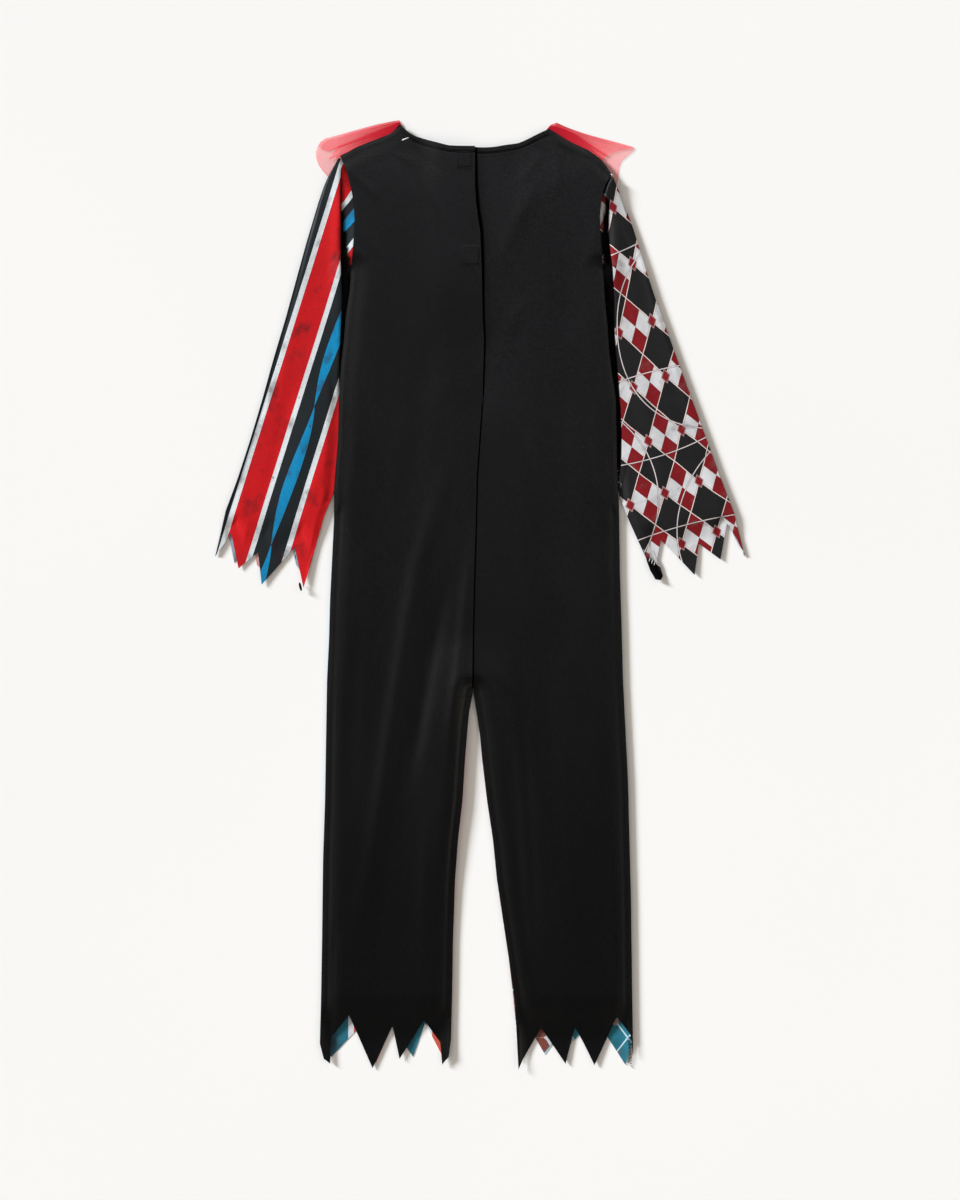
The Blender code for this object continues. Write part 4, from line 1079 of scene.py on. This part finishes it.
def build_panels():
    """The two backs and the two fronts."""
    left_back_edge = [(y, x + EDGE_APART) for y, x in BACK_OPENING] + LEFT_INSEAM[1:]
    right_back_edge = UNDERLAP + [(y, x - EDGE_APART) for y, x in BACK_OPENING if y < 209.0]
    right_back_edge = [e for e in right_back_edge if e[0] > CROTCH_Y] + RIGHT_INSEAM
    left_front_edge = [CENTRE_FRONT[0], (CROTCH_Y, -8.9)] + LEFT_INSEAM[1:]
    right_front_edge = [CENTRE_FRONT[0], (CROTCH_Y, -7.9)] + RIGHT_INSEAM[1:-3]
    right_front_edge += [(-486.0, 40.4), (-518.0, 42.6), (-570.0, 44.2)]
    front_left, front_right = [
        [(*row[:4], 0.0, row[4]) for row in columns]
        for columns in (FRONT_LEFT_COLUMNS, FRONT_RIGHT_COLUMNS)
    ]
    plans = [
        # name, columns, left edge, right edge, on_left, columns per interval, pitch
        ("front_left", front_left, left_side, left_front_edge, True, 4, 4.0),
        ("front_right", front_right, right_front_edge, right_side, False, 4, 4.0),
        ("back_left", BACK_LEFT_COLUMNS, left_side, left_back_edge, True, 6, 2.7),
        ("back_right", BACK_RIGHT_COLUMNS, right_back_edge, right_side, False, 6, 2.7),
    ]
    made = {}
    for name, columns, left_edge, right_edge, on_left, times, pitch in plans:
        arm_edge = LEFT_SIDE if on_left else RIGHT_SIDE
        x, y, lift = panel_plan(name, columns, left_edge, right_edge, arm_edge, times, pitch)
        if name.startswith("front"):
            z = front_height(x, y, on_left) + lift
            looks = [leg_stripes_inside, leg_stripes] if on_left else [harlequin_inside, harlequin]
        else:
            z = back_top(x, y, on_left)
            lain = front_height(x, y, on_left) + HEM_LIE - 0.5
            z = z + smooth((HEM_FROM - y) / HEM_FALL) * (np.minimum(z, lain) - z) + 0.8 * lift
            looks = [black, black]
        coords = np.stack([x, -y], axis=-1)
        # A back's third value: distance from the opening in widths of its painted shadow
        if name.startswith("back"):
            wide = along(OPENING_SHADE, y)
            off = (x - along(opening, y)) / wide
            if on_left:
                off = np.where(wide > 1.0, -FAR_OFF, off)
            off = np.where(y < CROTCH_Y - 4.0, FAR_OFF, off)
            coords = np.stack([x, -y, off], axis=-1)
        if name == "front_right":
            coords = leg_lattice(x, y)
            plain = -1.0 * (x > PLAIN_FROM)
            coords = np.concatenate([coords, plain[..., None]], axis=-1)
        made[name] = shell(name + "_cloth", x, y, z, coords, looks)
    return made


# ---------------------------------------------------------------- sleeves


RECESS, TUCK = 8, 16  # columns where the recess and the tuck under the fold end
HEM_ROWS = 24  # of the torn zone
FAR = 99.0  # past every crest
SLEEVE_LOFT = 2.6  # air between the layers
SLEEVE_CURL = 0.9  # how far the outer edge stands off the table
SEAM_STEP = 1.35  # height of the sleeve over the front at the armhole seam
SLEEVE_WIDE = 100.0
MIDDLE_APART = 0.2  # the layers stay this far from the middle of the underarm edge
CAP_SHADE = 0.8  # how much painted shade darkens the right sleeve beside its seam
EDGE_SHADE = 0.75  # and the left one at its outer edge
CURL_SHADE = 0.93  # how dark a tip that rolls over is
CREST_DROP = {True: 0.5, False: 0.12}  # how far the fold's crest sags, left and right
EDGE_WIDE = 9.0  # strip in which the layers close on each other towards an edge
ARMHOLE_LOW = 405.0  # below it a sleeve lies free beside the body
HEM_FREE = 124.0  # and here its underarm edge does


def spaced(rows, times):
    """Rows of a table with a number of even steps for each interval, without the last."""
    at = np.concatenate([k + np.arange(n) / n for k, n in enumerate(times)])
    return np.stack([np.interp(at, np.arange(len(rows)), rows[:, k]) for k in range(4)], 1)


class Sleeve:
    """A sleeve laid flat, with a tucked fold beside the armhole and a torn hem.

    Rows go down from the shoulder. Columns go from the underarm over the upper
    layer to the outer edge, and back under it. The first of them make the recess
    beside the armhole and the tuck under the fold, whose crest is crest mm in.
    """

    def __init__(self, outer, inner, arm_edge, top, under, pleat, on_left):
        self.on_left, self.outer = on_left, outer
        self.sign = -1.0 if on_left else 1.0
        self.side = left_side if on_left else right_side
        upper = [(1.0, *inner[-1], 0.2), *top[::-1], (0.0, *outer[-1], 0.2)]
        lower = [(0.0, *outer[-1], 0.2), *under[::-1], (1.0, *inner[-1], 0.2)]
        upper, lower = np.array(upper, float), np.array(lower, float)
        upper = spaced(upper, [20] + [8] * (len(upper) - 2))
        columns = np.concatenate([upper, spaced(lower, [9] * (len(lower) - 1)), lower[-1:]])
        share, hem_x, hem_y, lift = columns.T
        self.uppers = len(upper)
        self.number = np.arange(len(columns))[None, :]
        self.is_upper = self.number < self.uppers

        arm = [(x, y) for y, x in arm_edge if y >= UNDERARM_Y]
        rings = np.linspace(0.006, 0.3, 92)[:-1]
        rings = np.concatenate([rings, np.linspace(0.3, SLEEVE_LAST_RING, 96)])
        out_x, out_y = on_path(rounded(outer, 3.0, 30.0), rings)
        in_x, in_y = on_path(rounded(arm + list(inner[1:]), 2.0, 16.0), rings)
        wide = np.hypot(out_x - in_x, out_y - in_y)
        run_x, run_y = (out_x - in_x) / wide, (out_y - in_y) / wide

        rows = np.array(pleat[::-1])
        parts = [np.interp(in_y, rows[:, 0], rows[:, k]) for k in range(1, 6)]
        amount = smooth((rows[-1, 0] - in_y) / 10.0) * smooth((in_y - rows[0, 0]) / 40.0)
        crest = np.clip((parts[0] - in_x) / run_x, 0.5, 0.6 * wide)
        tuck = np.minimum(PLEAT_MOST, 0.35 * (wide - crest))
        held = [np.r_[v, np.repeat(v[-1], HEM_ROWS)][:, None] for v in (*parts[1:], crest)]
        self.recess_print, self.depth, self.shade, self.crease, self.crest = held
        crest, tuck, wide, amount = [v[:, None] for v in (crest, tuck, wide, amount)]
        self.amount = np.concatenate([amount, np.zeros((HEM_ROWS, 1))])
        off = self.across(share, crest, tuck, wide, amount)
        reach = (np.arange(1, HEM_ROWS + 1) / HEM_ROWS)[:, None]
        x = in_x[:, None] + off * run_x[:, None]
        y = in_y[:, None] + off * run_y[:, None]
        self.x = np.concatenate([x, x[-1] + reach * (hem_x - x[-1])])
        self.y = np.concatenate([y, y[-1] + reach * (hem_y - y[-1])])
        self.reach = np.concatenate([np.zeros((len(rings), 1)), reach])
        self.rise = self.reach**2 * lift
        hem_share = np.broadcast_to(share, (HEM_ROWS, len(share)))
        self.share = np.concatenate([1.0 - off / wide, hem_share])
        past = np.full(self.x.shape, FAR)
        past[: len(off), : self.uppers] = off[:, : self.uppers]
        self.past = past - np.where(self.is_upper, self.crest, 0.0)

    def across(self, share, crest, tuck, wide, amount):
        """Distance of each column from the inner edge, folded back where it is tucked."""
        number = self.number
        base = (1.0 - share) * wide
        first = 1.0 - share[TUCK + 1]
        folded = crest + 0.4 + (1.0 - share - first) / (1.0 - first) * (wide - crest - 0.4)
        tucked = crest + tuck * (TUCK - number) / (TUCK - RECESS)
        folded = np.where(number <= TUCK, tucked, folded)
        folded = np.where(number <= RECESS, (crest + tuck) * number / RECESS, folded)
        folded = np.where(self.is_upper, folded, base)
        return base + amount * (folded - base)

    def layers(self):
        """Heights of the lower layer and of the upper one without its fold."""
        x, y, share, amount = self.x, self.y, self.share, self.amount
        near = fade(self.to_seam / (14.0 + 16.0 * smooth((425.0 - y) / 35.0)))
        off_outer = share * SLEEVE_WIDE
        off_inner = np.where(y < UNDERARM_Y, (1.0 - share) * SLEEVE_WIDE, 0.5 * SLEEVE_WIDE)
        off_edge = np.minimum(off_outer, off_inner)
        curl = SLEEVE_CURL * fade(off_outer / EDGE_WIDE)
        inner_curl = SLEEVE_CURL * fade(off_inner / EDGE_WIDE)
        curl = np.maximum(curl, np.where(y < 110.0, inner_curl, 0.0))
        low = np.maximum(RUFFLE_RISE * over_ruffle(x, y), curl) + OFF_TABLE
        low = low + near * (front_under(self.seam_x, self.seam_y, self.on_left) - low)
        outward = self.sign * (x - along(self.side, y))
        below = y < ARMHOLE_LOW
        clear = np.where(below, smooth((outward - 1.0) / 14.0), 1.0)
        clear = np.maximum(clear, below * smooth((y - ARMHOLE_LOW + 20.0) / 20.0))
        clear = np.maximum(clear, smooth((HEM_FREE - y) / 20.0))
        clear = np.maximum(clear, amount * smooth((outward + 1.0) / 5.0))
        loft = np.clip(SLEEVE_LOFT + ridges(x, y, SLEEVE_FOLDS), 0.5, MOST_GAP)
        least = 0.5 + 0.9 * smooth((0.3 - share) / 0.2) * smooth((450.0 - y) / 60.0)
        between = least + (loft - least) * smooth(off_edge / EDGE_WIDE) * clear
        main = low + 2.0 * CLOTH + between
        main = main + ridges(x, y, SLEEVE_CREASES) * smooth(off_edge / EDGE_WIDE) * clear
        return low, main - CREST_DROP[self.on_left] * amount * fade(self.past / 3.0)

    def heights(self):
        """Height of each point, with the fold, the seam, the edges and the torn hem."""
        y, share, number, amount = self.y, self.share, self.number, self.amount
        self.seam_y = np.maximum(y, UNDERARM_Y)
        self.seam_x = along(self.side, self.seam_y)
        self.to_seam = np.hypot(self.x - self.seam_x, y - self.seam_y)
        low, main = self.layers()
        at_crest = main[:, TUCK + 1 : TUCK + 2]
        floor = np.maximum(at_crest - self.depth, low + 1.0)
        seam_level = front_under(self.seam_x, self.seam_y, self.on_left) + SEAM_STEP
        in_armhole = smooth((y - UNDERARM_Y + 22.0) / 30.0)
        end = low + 0.6 + in_armhole * (seam_level - low - 0.6)
        down = fade((self.past + self.crest) / (3.0 + 3.0 * in_armhole))
        recess = floor + (end - floor) * down
        back = np.clip((TUCK - number) / (TUCK - RECESS), 0.0, 1.0)
        tucked = floor + 0.25 + (at_crest - 0.3 - floor) * fade(back / 0.3)
        folded = np.where(number <= RECESS, recess, tucked)
        high = np.where(number <= TUCK, main + amount * (folded - main), main)
        blend = np.where(y > UNDERARM_Y, fade(self.to_seam / 5.0), 0.0) * (1.0 - amount)
        high = high + blend * (seam_level - high)
        z = np.where(self.is_upper, high, low)
        middle = 0.5 * (low + main)
        at_inner = (share > 0.9999) & (y < UNDERARM_Y)
        z = np.where(share < 0.0001, middle, z)
        z = np.where(at_inner, middle + np.where(self.is_upper, MIDDLE_APART, -MIDDLE_APART), z)
        lain = low + np.where(self.is_upper, HEM_LIE, 0.0)
        z = z + smooth(self.reach * 1.6) * (np.minimum(z, lain) - z) + 0.7 * self.rise
        self.curled = ridges(self.x, y, SLEEVE_CURLS) * self.reach * self.is_upper
        return z + self.curled

    def on_print(self):
        """Where each point is on the print: in from the outer edge, and down it."""
        start = np.array(self.outer[0])
        run = np.array(self.outer[-1]) - start
        run /= np.linalg.norm(run)
        inward = np.array([run[1], -run[0]]) * self.sign
        print_x = (self.x - start[0]) * inward[0] + (self.y - start[1]) * inward[1]
        print_y = (self.x - start[0]) * run[0] + (self.y - start[1]) * run[1]
        if self.on_left:
            print_x = print_x + 0.9 * smooth((print_y - 150.0) / 260.0) * (print_x < 70.0)
        else:
            print_x = print_x - LOZENGE_COLUMN - 10.0 * smooth((print_y - 160.0) / 150.0)
            print_x = print_x / (1.0 + 0.07 * smooth((print_y - 300.0) / 120.0))
            seen, even = np.array(LOZENGE_ROWS).T
            print_y = np.interp(print_y, seen, even)
        number = self.number
        at_crest = print_x[:, TUCK + 1 : TUCK + 2]
        in_recess = self.recess_print + 0.88 * (self.past + 0.5 * self.crest) * -1.0
        far = in_recess[:, RECESS : RECESS + 1]
        in_tuck = far + (at_crest - far) * (number - RECESS) / (TUCK + 1 - RECESS)
        folded = np.where(number <= RECESS, in_recess, in_tuck)
        folded = print_x + self.amount * (folded - print_x)
        print_x = np.where(number <= TUCK, folded, print_x)
        edge_print = print_x[:, self.uppers : self.uppers + 1]
        print_x = np.where(self.is_upper, print_x, 2.0 * edge_print - print_x)
        return print_x, print_y

    def darkness(self):
        """Painted shade: 0 in the light, 1 deep in the fold; the points that roll over are dark too."""
        past, amount = self.past, self.amount
        # painted shade in the recess, and in a crease beside the crest
        beside = np.where(self.number > RECESS, 1.0, smooth((past + self.crease + 0.5) / 1.0))
        dark = np.maximum(self.shade, beside) * amount
        by_crest = self.shade * amount * fade(past / 1.6)
        dark = np.where(self.number <= TUCK, dark, by_crest)
        dark = np.maximum(dark, smooth((self.curled - 0.5) / 0.5) * CURL_SHADE)
        # painted shade: the left sleeve's outer edge, and the right one beside its seam
        if self.on_left:
            edge_dark = fade((self.share * SLEEVE_WIDE - 1.0) / 5.0)
            dark = np.maximum(dark, EDGE_SHADE * edge_dark * smooth((self.y - 60.0) / 60.0))
        else:
            at_cap = fade((self.to_seam - 2.0) / 4.0) * (1.0 - amount)
            at_cap = at_cap * smooth((self.y - UNDERARM_Y) / 20.0)
            dark = np.maximum(dark, CAP_SHADE * at_cap)
        return dark * self.is_upper


def sleeve(name, looks, *tables):
    """The cloth of a sleeve."""
    laid = Sleeve(*tables)
    grids = [laid.x, laid.y, laid.heights()]
    # The third value is how dark each point is painted: shade in the fold, beside the seam and at the
    # outer edge, and the rolled tips.
    grids.append(np.stack([*laid.on_print(), laid.darkness()], axis=-1))
    if laid.on_left:
        grids = [grid[:, ::-1] for grid in grids]
    return shell(name, *grids, looks)


# ---------------------------------------------------------------- ruffle


NET_ROWS = 29  # from the neck to the free edge
NET_COLUMNS = 6  # between two lines
NET_LIFT = 0.14  # height of the lowest ply
NET_WAVE = 0.05
BOW_PEAK = 6.75  # brings the peak of a bow's curve to 1
FOLD_THINS = {True: 0.3, False: 0.85}  # how far a fold's tone thins out, left and right


def ruffle(name, shown, on_left):
    """One continuous strip of net, pleated over itself and laid round the neck."""
    side = -1.0 if on_left else 1.0
    lines = [(*row, RUFFLE_PLY_RISE * number) for number, row in enumerate(shown)]
    top = lines[-1][6]
    first_x, first_y, last_x, last_y = lines[-1][:4]
    angle = math.atan2(first_y - NECK_Y, side * (first_x - NECK_X))
    angle_out = math.atan2(last_y - NECK_Y, side * (last_x - NECK_X))
    reach_x = side * (last_x - NECK_X) / math.cos(angle_out)
    turns = []
    for pleat in range(RUFFLE_HIDDEN_PLEATS):
        wide = 1.0 + 0.25 * math.sin(2.3 * pleat)
        turns += [(pleat + 1.5, pleat + 0.75 * wide, 0.34)]
        turns += [(pleat - 0.4, pleat + 0.3, 0.7), (pleat + 1.0, pleat + 1.0, 0.0)]
    for inner, outer, lift in turns:
        inner_share = min(1.0, inner / RUFFLE_HIDDEN_PLEATS)
        share = min(1.0, outer / RUFFLE_HIDDEN_PLEATS)
        inner_at = angle + inner_share * (-0.5 * math.pi - angle)
        outer_at = angle_out + share * (-0.5 * math.pi - angle_out)
        reach = reach_x + share * (NECK_HALF_WIDTH + RUFFLE_LENGTH - reach_x)
        inner_x = NECK_X + side * (NECK_HALF_WIDTH + 0.5) * math.cos(inner_at)
        inner_y = NECK_Y + NECK_DEPTH * math.sin(inner_at)
        outer_x = NECK_X + side * reach * math.cos(outer_at)
        outer_y = NECK_Y + (NECK_DEPTH + RUFFLE_LENGTH) * math.sin(outer_at)
        height = lift + (top - lift) * max(0.0, 1.0 - share * 12.0)
        lines.append((inner_x, inner_y, outer_x, outer_y, 0.0, 0.3, height))
    lines[-1] = (NECK_X + side * 0.2, lines[-1][1], NECK_X + side * 0.2, *lines[-1][3:])
    lines = np.array(lines)
    at = np.arange((len(lines) - 1) * NET_COLUMNS + 1) / NET_COLUMNS
    columns = [np.interp(at, np.arange(len(lines)), lines[:, k]) for k in range(7)]
    inner_x, inner_y, outer_x, outer_y, bow, gather, height = [c[None, :] for c in columns]
    down = np.linspace(0.0, 1.0, NET_ROWS)[:, None]
    run_x, run_y = outer_x - inner_x, outer_y - inner_y
    length = np.hypot(run_x, run_y)
    skew = bow * BOW_PEAK * down * (1.0 - down) ** 2
    x = inner_x + down * run_x - side * skew * run_y / length
    y = inner_y + down * run_y + skew * np.abs(run_x) / length
    wave = np.sin(at * 2.1)[None, :] * np.sin(math.pi * down)
    z = NET_LIFT + height * (0.75 + 0.25 * down) + NET_WAVE * wave
    steps = np.hypot(np.diff(x[-1]), np.diff(y[-1]))
    along_strip = np.r_[0.0, np.cumsum(steps)][None, :] + 0.0 * down
    turn = np.sign(np.diff(np.arctan2(y[-1] - NECK_Y, side * (x[-1] - NECK_X))))
    folded = np.r_[0.0, turn[1:] != turn[:-1], 0.0]
    folded = np.maximum(folded, 0.5 * np.maximum(np.roll(folded, 1), np.roll(folded, -1)))
    dense = np.maximum(folded[None, :] * (1.0 - FOLD_THINS[on_left] * down), gather * (1.0 - down**1.5))
    coords = np.stack([along_strip, RUFFLE_LENGTH * down + 0.0 * at, dense], axis=-1)
    z = np.broadcast_to(z, x.shape)
    if not on_left:
        x, y, z, coords = [grid[:, ::-1] for grid in (x, y, z, coords)]
    return shell(name, x, y, z, coords, [net], thickness=0.0)


# ---------------------------------------------------------------- sewing


def surface(piece, x, y):
    """Height in mm of the top of a piece at points, from the vertices round each."""
    spots = np.zeros(len(piece.data.vertices) * 3, np.float32)
    piece.data.vertices.foreach_get("co", spots)
    spots = spots.reshape(-1, 3) / MM
    away = [np.hypot(spots[:, 0] - at_x, spots[:, 1] - at_y) for at_x, at_y in zip(x, y)]
    return np.array([spots[near < max(2.0, near.min() + 0.5), 2].max() for near in away])


# Rings along a stitch: share of its length, size and rise
ARCH = [(0, 0.35, -0.4), (0.15, 0.85, 0), (0.5, 1, 0.2), (0.85, 0.85, 0), (1, 0.35, -0.4)]
SIDES = 6  # corners of each ring


def threads(name, runs, look, seed):
    """Lines of stitches as one mesh, each stitch a short arched length of thread.

    A run is a piece, a line on it, then the stitches' step, length, width and turn.
    """
    rng = np.random.default_rng(seed)
    corners = np.linspace(0.0, 2.0 * math.pi, SIDES + 1)[:-1]
    vertices, faces = [], []
    for piece, line, step, long, wide, turn in runs:
        line = np.array(line, float)
        length = np.hypot(*np.diff(line, axis=0).T).sum()
        count = max(1, int(length / step))
        at = (np.arange(count) + 0.5) / count
        x, y = on_path(line, at)
        from_x, from_y = on_path(line, at - 0.01)
        to_x, to_y = on_path(line, at + 0.01)
        heading = np.arctan2(to_y - from_y, to_x - from_x) + turn + rng.normal(0.0, 0.05, count)
        z = surface(piece, x, y) + 0.25 * wide
        for k in range(count):
            run = np.array([math.cos(heading[k]), math.sin(heading[k]), 0.0])
            across = np.array([-run[1], run[0], 0.0])
            reach = long * rng.uniform(0.88, 1.05)
            first = len(vertices)
            for share, size, rise in ARCH:
                middle = np.array([x[k], y[k], z[k] + rise * wide]) + (share - 0.5) * reach * run
                for angle in corners:
                    ring = across * math.cos(angle) + np.array([0.0, 0.0, 0.7 * math.sin(angle)])
                    vertices.append((middle + 0.5 * wide * size * ring) * MM)
            last = len(vertices) - SIDES
            for ring in range(first, last, SIDES):
                for side in range(SIDES):
                    a, b = ring + side, ring + (side + 1) % SIDES
                    faces.append((a, b, b + SIDES, a + SIDES))
            faces.append(tuple(range(first + SIDES - 1, first - 1, -1)))
            faces.append(tuple(range(last, len(vertices))))
    mesh = bpy.data.meshes.new(name)
    mesh.from_pydata([tuple(v) for v in vertices], [], faces)
    mesh.materials.append(look)
    mesh.shade_smooth()
    return put(name, mesh)


def below_neck(line, first, last, away):
    """A line at a distance below the neck edge."""
    x = np.linspace(first, last, 40)
    return list(zip(x, along(line, x) - away))


def square(left, right, low, high):
    """A box of stitches just inside a rectangle."""
    left, right, low, high = left + 1.0, right - 1.0, low + 1.0, high - 1.0
    return [(left, low), (right, low), (right, high), (left, high), (left, low)]


# ---------------------------------------------------------------- stage


TABLE_HALF = 6.0  # metres
WALLS = 0.91  # light of the studio's walls and of its ceiling
CEILING = 0.02
WALL_FROM, WALL_FULL, WALL_FADE, WALL_END = 14.0, 26.0, 44.0, 58.0  # heights in degrees
BOX = 0.50  # soft box over the neck end, how far it leans from upright and its half width
BOX_LEAN = 17.5
BOX_WIDE = 22.5
BOX_TINT = (0.94, 0.97, 1.06)
SUN_POWER = 7.9
SUN_COLOUR = (0.95, 0.99, 1.03)
SUN_WIDE = 12.0
SUN_AZIMUTH = 150.0
SUN_HEIGHT = 16.5
LENS = 85.0
SENSOR = 36.0
PHOTO_ROWS = 1200
MID_HEIGHT = 0.004  # metres from the table to the middle of the cloth


def build_table():
    """Pale table."""
    mesh = bpy.data.meshes.new("table")
    corners = [(-1, -1), (1, -1), (1, 1), (-1, 1)]
    corners = [(TABLE_HALF * x, TABLE_HALF * y, 0.0) for x, y in corners]
    mesh.from_pydata(corners, [], [(0, 1, 2, 3)])
    look = Look("pale_table", Roughness=0.9, Specular_IOR_Level=0.1)
    cloud = look.noise(look.place_on_object(), 0.9, 2.0)
    colour = look.ramp(cloud, [(0.3, grey(0.80)), (0.7, grey(0.815))])
    look.give("Base Color", colour)
    mesh.materials.append(look.made)
    put("table", mesh)


def build_studio():
    """Warm walls, a dark ceiling and a soft box over the neck end."""
    world = bpy.data.worlds.new("studio")
    world.use_nodes = True
    sky = Nodes(world.node_tree)
    around = sky.node("ShaderNodeTexCoord").outputs["Generated"]
    up = sky.node("ShaderNodeSeparateXYZ", {0: around}).outputs["Z"]
    lit = (WALLS, 0.90 * WALLS, 0.77 * WALLS, 1.0)
    stops = [(WALL_FROM, (0.10 * WALLS, 0.09 * WALLS, 0.08 * WALLS, 1.0))]
    stops += [(WALL_FULL, lit), (WALL_FADE, lit), (WALL_END, grey(CEILING))]
    walls = sky.ramp(up, [(math.sin(math.radians(height)), colour) for height, colour in stops])
    lean = math.radians(BOX_LEAN)
    middle = (-0.2 * math.sin(lean), math.sin(lean), math.cos(lean))
    reach = {
        "Value": sky.vector("DOT_PRODUCT", around, middle).outputs["Value"],
        "From Min": math.cos(math.radians(BOX_WIDE)),
        "From Max": math.cos(math.radians(0.5 * BOX_WIDE)),
        "To Max": BOX,
    }
    box = sky.node("ShaderNodeMapRange", reach, interpolation_type="SMOOTHERSTEP").outputs[0]
    both = sky.mix(1.0, walls, sky.vector("MULTIPLY", box, BOX_TINT).outputs[0], "ADD")
    sky.plug(both, world.node_tree.nodes["Background"].inputs["Color"])
    bpy.context.scene.world = world


def build_window():
    """Low light from the upper left."""
    sun = bpy.data.lights.new("window", "SUN")
    sun.energy = SUN_POWER
    sun.angle = math.radians(SUN_WIDE)
    sun.color = SUN_COLOUR
    lamp = put("window", sun)
    tilt = math.pi / 2.0 - math.radians(SUN_HEIGHT)
    lamp.rotation_euler = (0.0, tilt, math.radians(SUN_AZIMUTH))


def build_camera():
    """Straight above, one photograph pixel on PHOTO_MM."""
    camera = bpy.data.cameras.new("camera")
    camera.lens = LENS
    camera.sensor_width = SENSOR
    camera.clip_end = 50.0
    eye = put("camera", camera)
    distance = PHOTO_ROWS * PHOTO_MM * MM * camera.lens / camera.sensor_width
    middle_y = (PHOTO_CENTRE_Y - 0.5 * PHOTO_ROWS) * PHOTO_MM * MM
    eye.location = (0.0, middle_y, distance + MID_HEIGHT)
    bpy.context.scene.camera = eye
    bpy.context.scene.view_settings.view_transform = "Standard"


panels = build_panels()
panels["sleeve_left"] = sleeve(
    "sleeve_left_cloth", [stripes, stripes_inside], SLEEVE_LEFT_OUTER, SLEEVE_LEFT_INNER,
    LEFT_SIDE, SLEEVE_LEFT_TOP, SLEEVE_LEFT_UNDER, SLEEVE_LEFT_PLEAT, True,
)
panels["sleeve_right"] = sleeve(
    "sleeve_right_cloth", [harlequin, harlequin_faded], SLEEVE_RIGHT_OUTER, SLEEVE_RIGHT_INNER,
    RIGHT_SIDE, SLEEVE_RIGHT_TOP, SLEEVE_RIGHT_UNDER, SLEEVE_RIGHT_PLEAT, False,
)
panels["ruffle_left"] = ruffle("ruffle_left_cloth", RUFFLE_LEFT_LINES, True)
panels["ruffle_right"] = ruffle("ruffle_right_cloth", RUFFLE_RIGHT_LINES, False)

left_back, right_back = panels["back_left"], panels["back_right"]
left_sleeve, right_sleeve = panels["sleeve_left"], panels["sleeve_right"]
right_front = panels["front_right"]
NECK_STITCH = NECK_HEM + 1.6  # distance of the stitches from the neck edge
ALONG_NECK = (2.9, 2.3, 0.5, 0)  # step, length, width and turn of the stitches
ALONG_TAPE = (2.6, 2.1, 0.5, 0)
TICK = [(156.8, 504.8), (160.4, 503)]
OVERLOCK = [(179.4, -530), (180.6, -548), (180.2, -563)]
neck_left = below_neck(NECK_LEFT, -82.0, -7.5, NECK_STITCH)
neck_right = below_neck(NECK_RIGHT, 2.0, 70.0, NECK_STITCH)
neck_second = below_neck(NECK_RIGHT, 2.0, 68.0, NECK_STITCH + 2.6)
SEWN = [
    # node it is sewn to, name, runs, look, seed
    ("back_left", "neck_stitches_left", [(left_back, neck_left, *ALONG_NECK)], dark_thread, 11),
    ("back_left", "tape_stitches", [
        (left_back, square(*pad), *ALONG_TAPE) for pad in TAPE_PADS
    ], dark_thread, 12),
    ("back_left", "tack_stitch", [(left_back, TACK, 12, 9.6, 1.5, 0)], pale_thread, 13),
    ("back_right", "neck_stitches_right", [
        (right_back, neck_right, *ALONG_NECK), (right_back, neck_second, *ALONG_NECK),
    ], dark_thread, 14),
    ("back_right", "shoulder_stitch", [(right_back, TICK, 12, 4.2, 1.2, 0)], pale_thread, 15),
    ("sleeve_left", "thread_curl", [
        (left_sleeve, [(-216.8, 15), (-214.2, 5)], 12, 10, 3, 0),
    ], dark_thread, 18),
    ("sleeve_right", "sleeve_thread_ends", [
        (right_sleeve, [(202, 43), (211, 37)], 3.2, 5.6, 0.7, 1.9),
    ], pale_thread, 19),
    ("front_right", "overlock_stitches", [
        (right_front, OVERLOCK, 1.7, 5, 0.8, 1.4),
    ], dark_thread, 16),
    ("front_right", "thread_ends", [
        (right_front, [(177, -562), (182, -567)], 2.2, 4.6, 0.8, 0.5),
        (right_front, [(43.6, -514), (44.4, -538)], 7.5, 4.4, 0.9, 0.3),
    ], pale_thread, 17),
]
sewn = {node: [] for node in panels}
for node, name, runs, look, seed in SEWN:
    sewn[node].append(threads(name, runs, look, seed))

# Each piece of cloth and its stitches hang from the root in place of the solid they stand for; the
# solids left show in tape.
for node, piece in panels.items():
    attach(piece, "root")
    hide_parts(node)
    for line in sewn[node]:
        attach(line, "root")
for node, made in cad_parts.items():
    if not made.hide_render:
        made.data.materials.clear()
        made.data.materials.append(tape)
for build in (build_table, build_studio, build_window, build_camera):
    build()
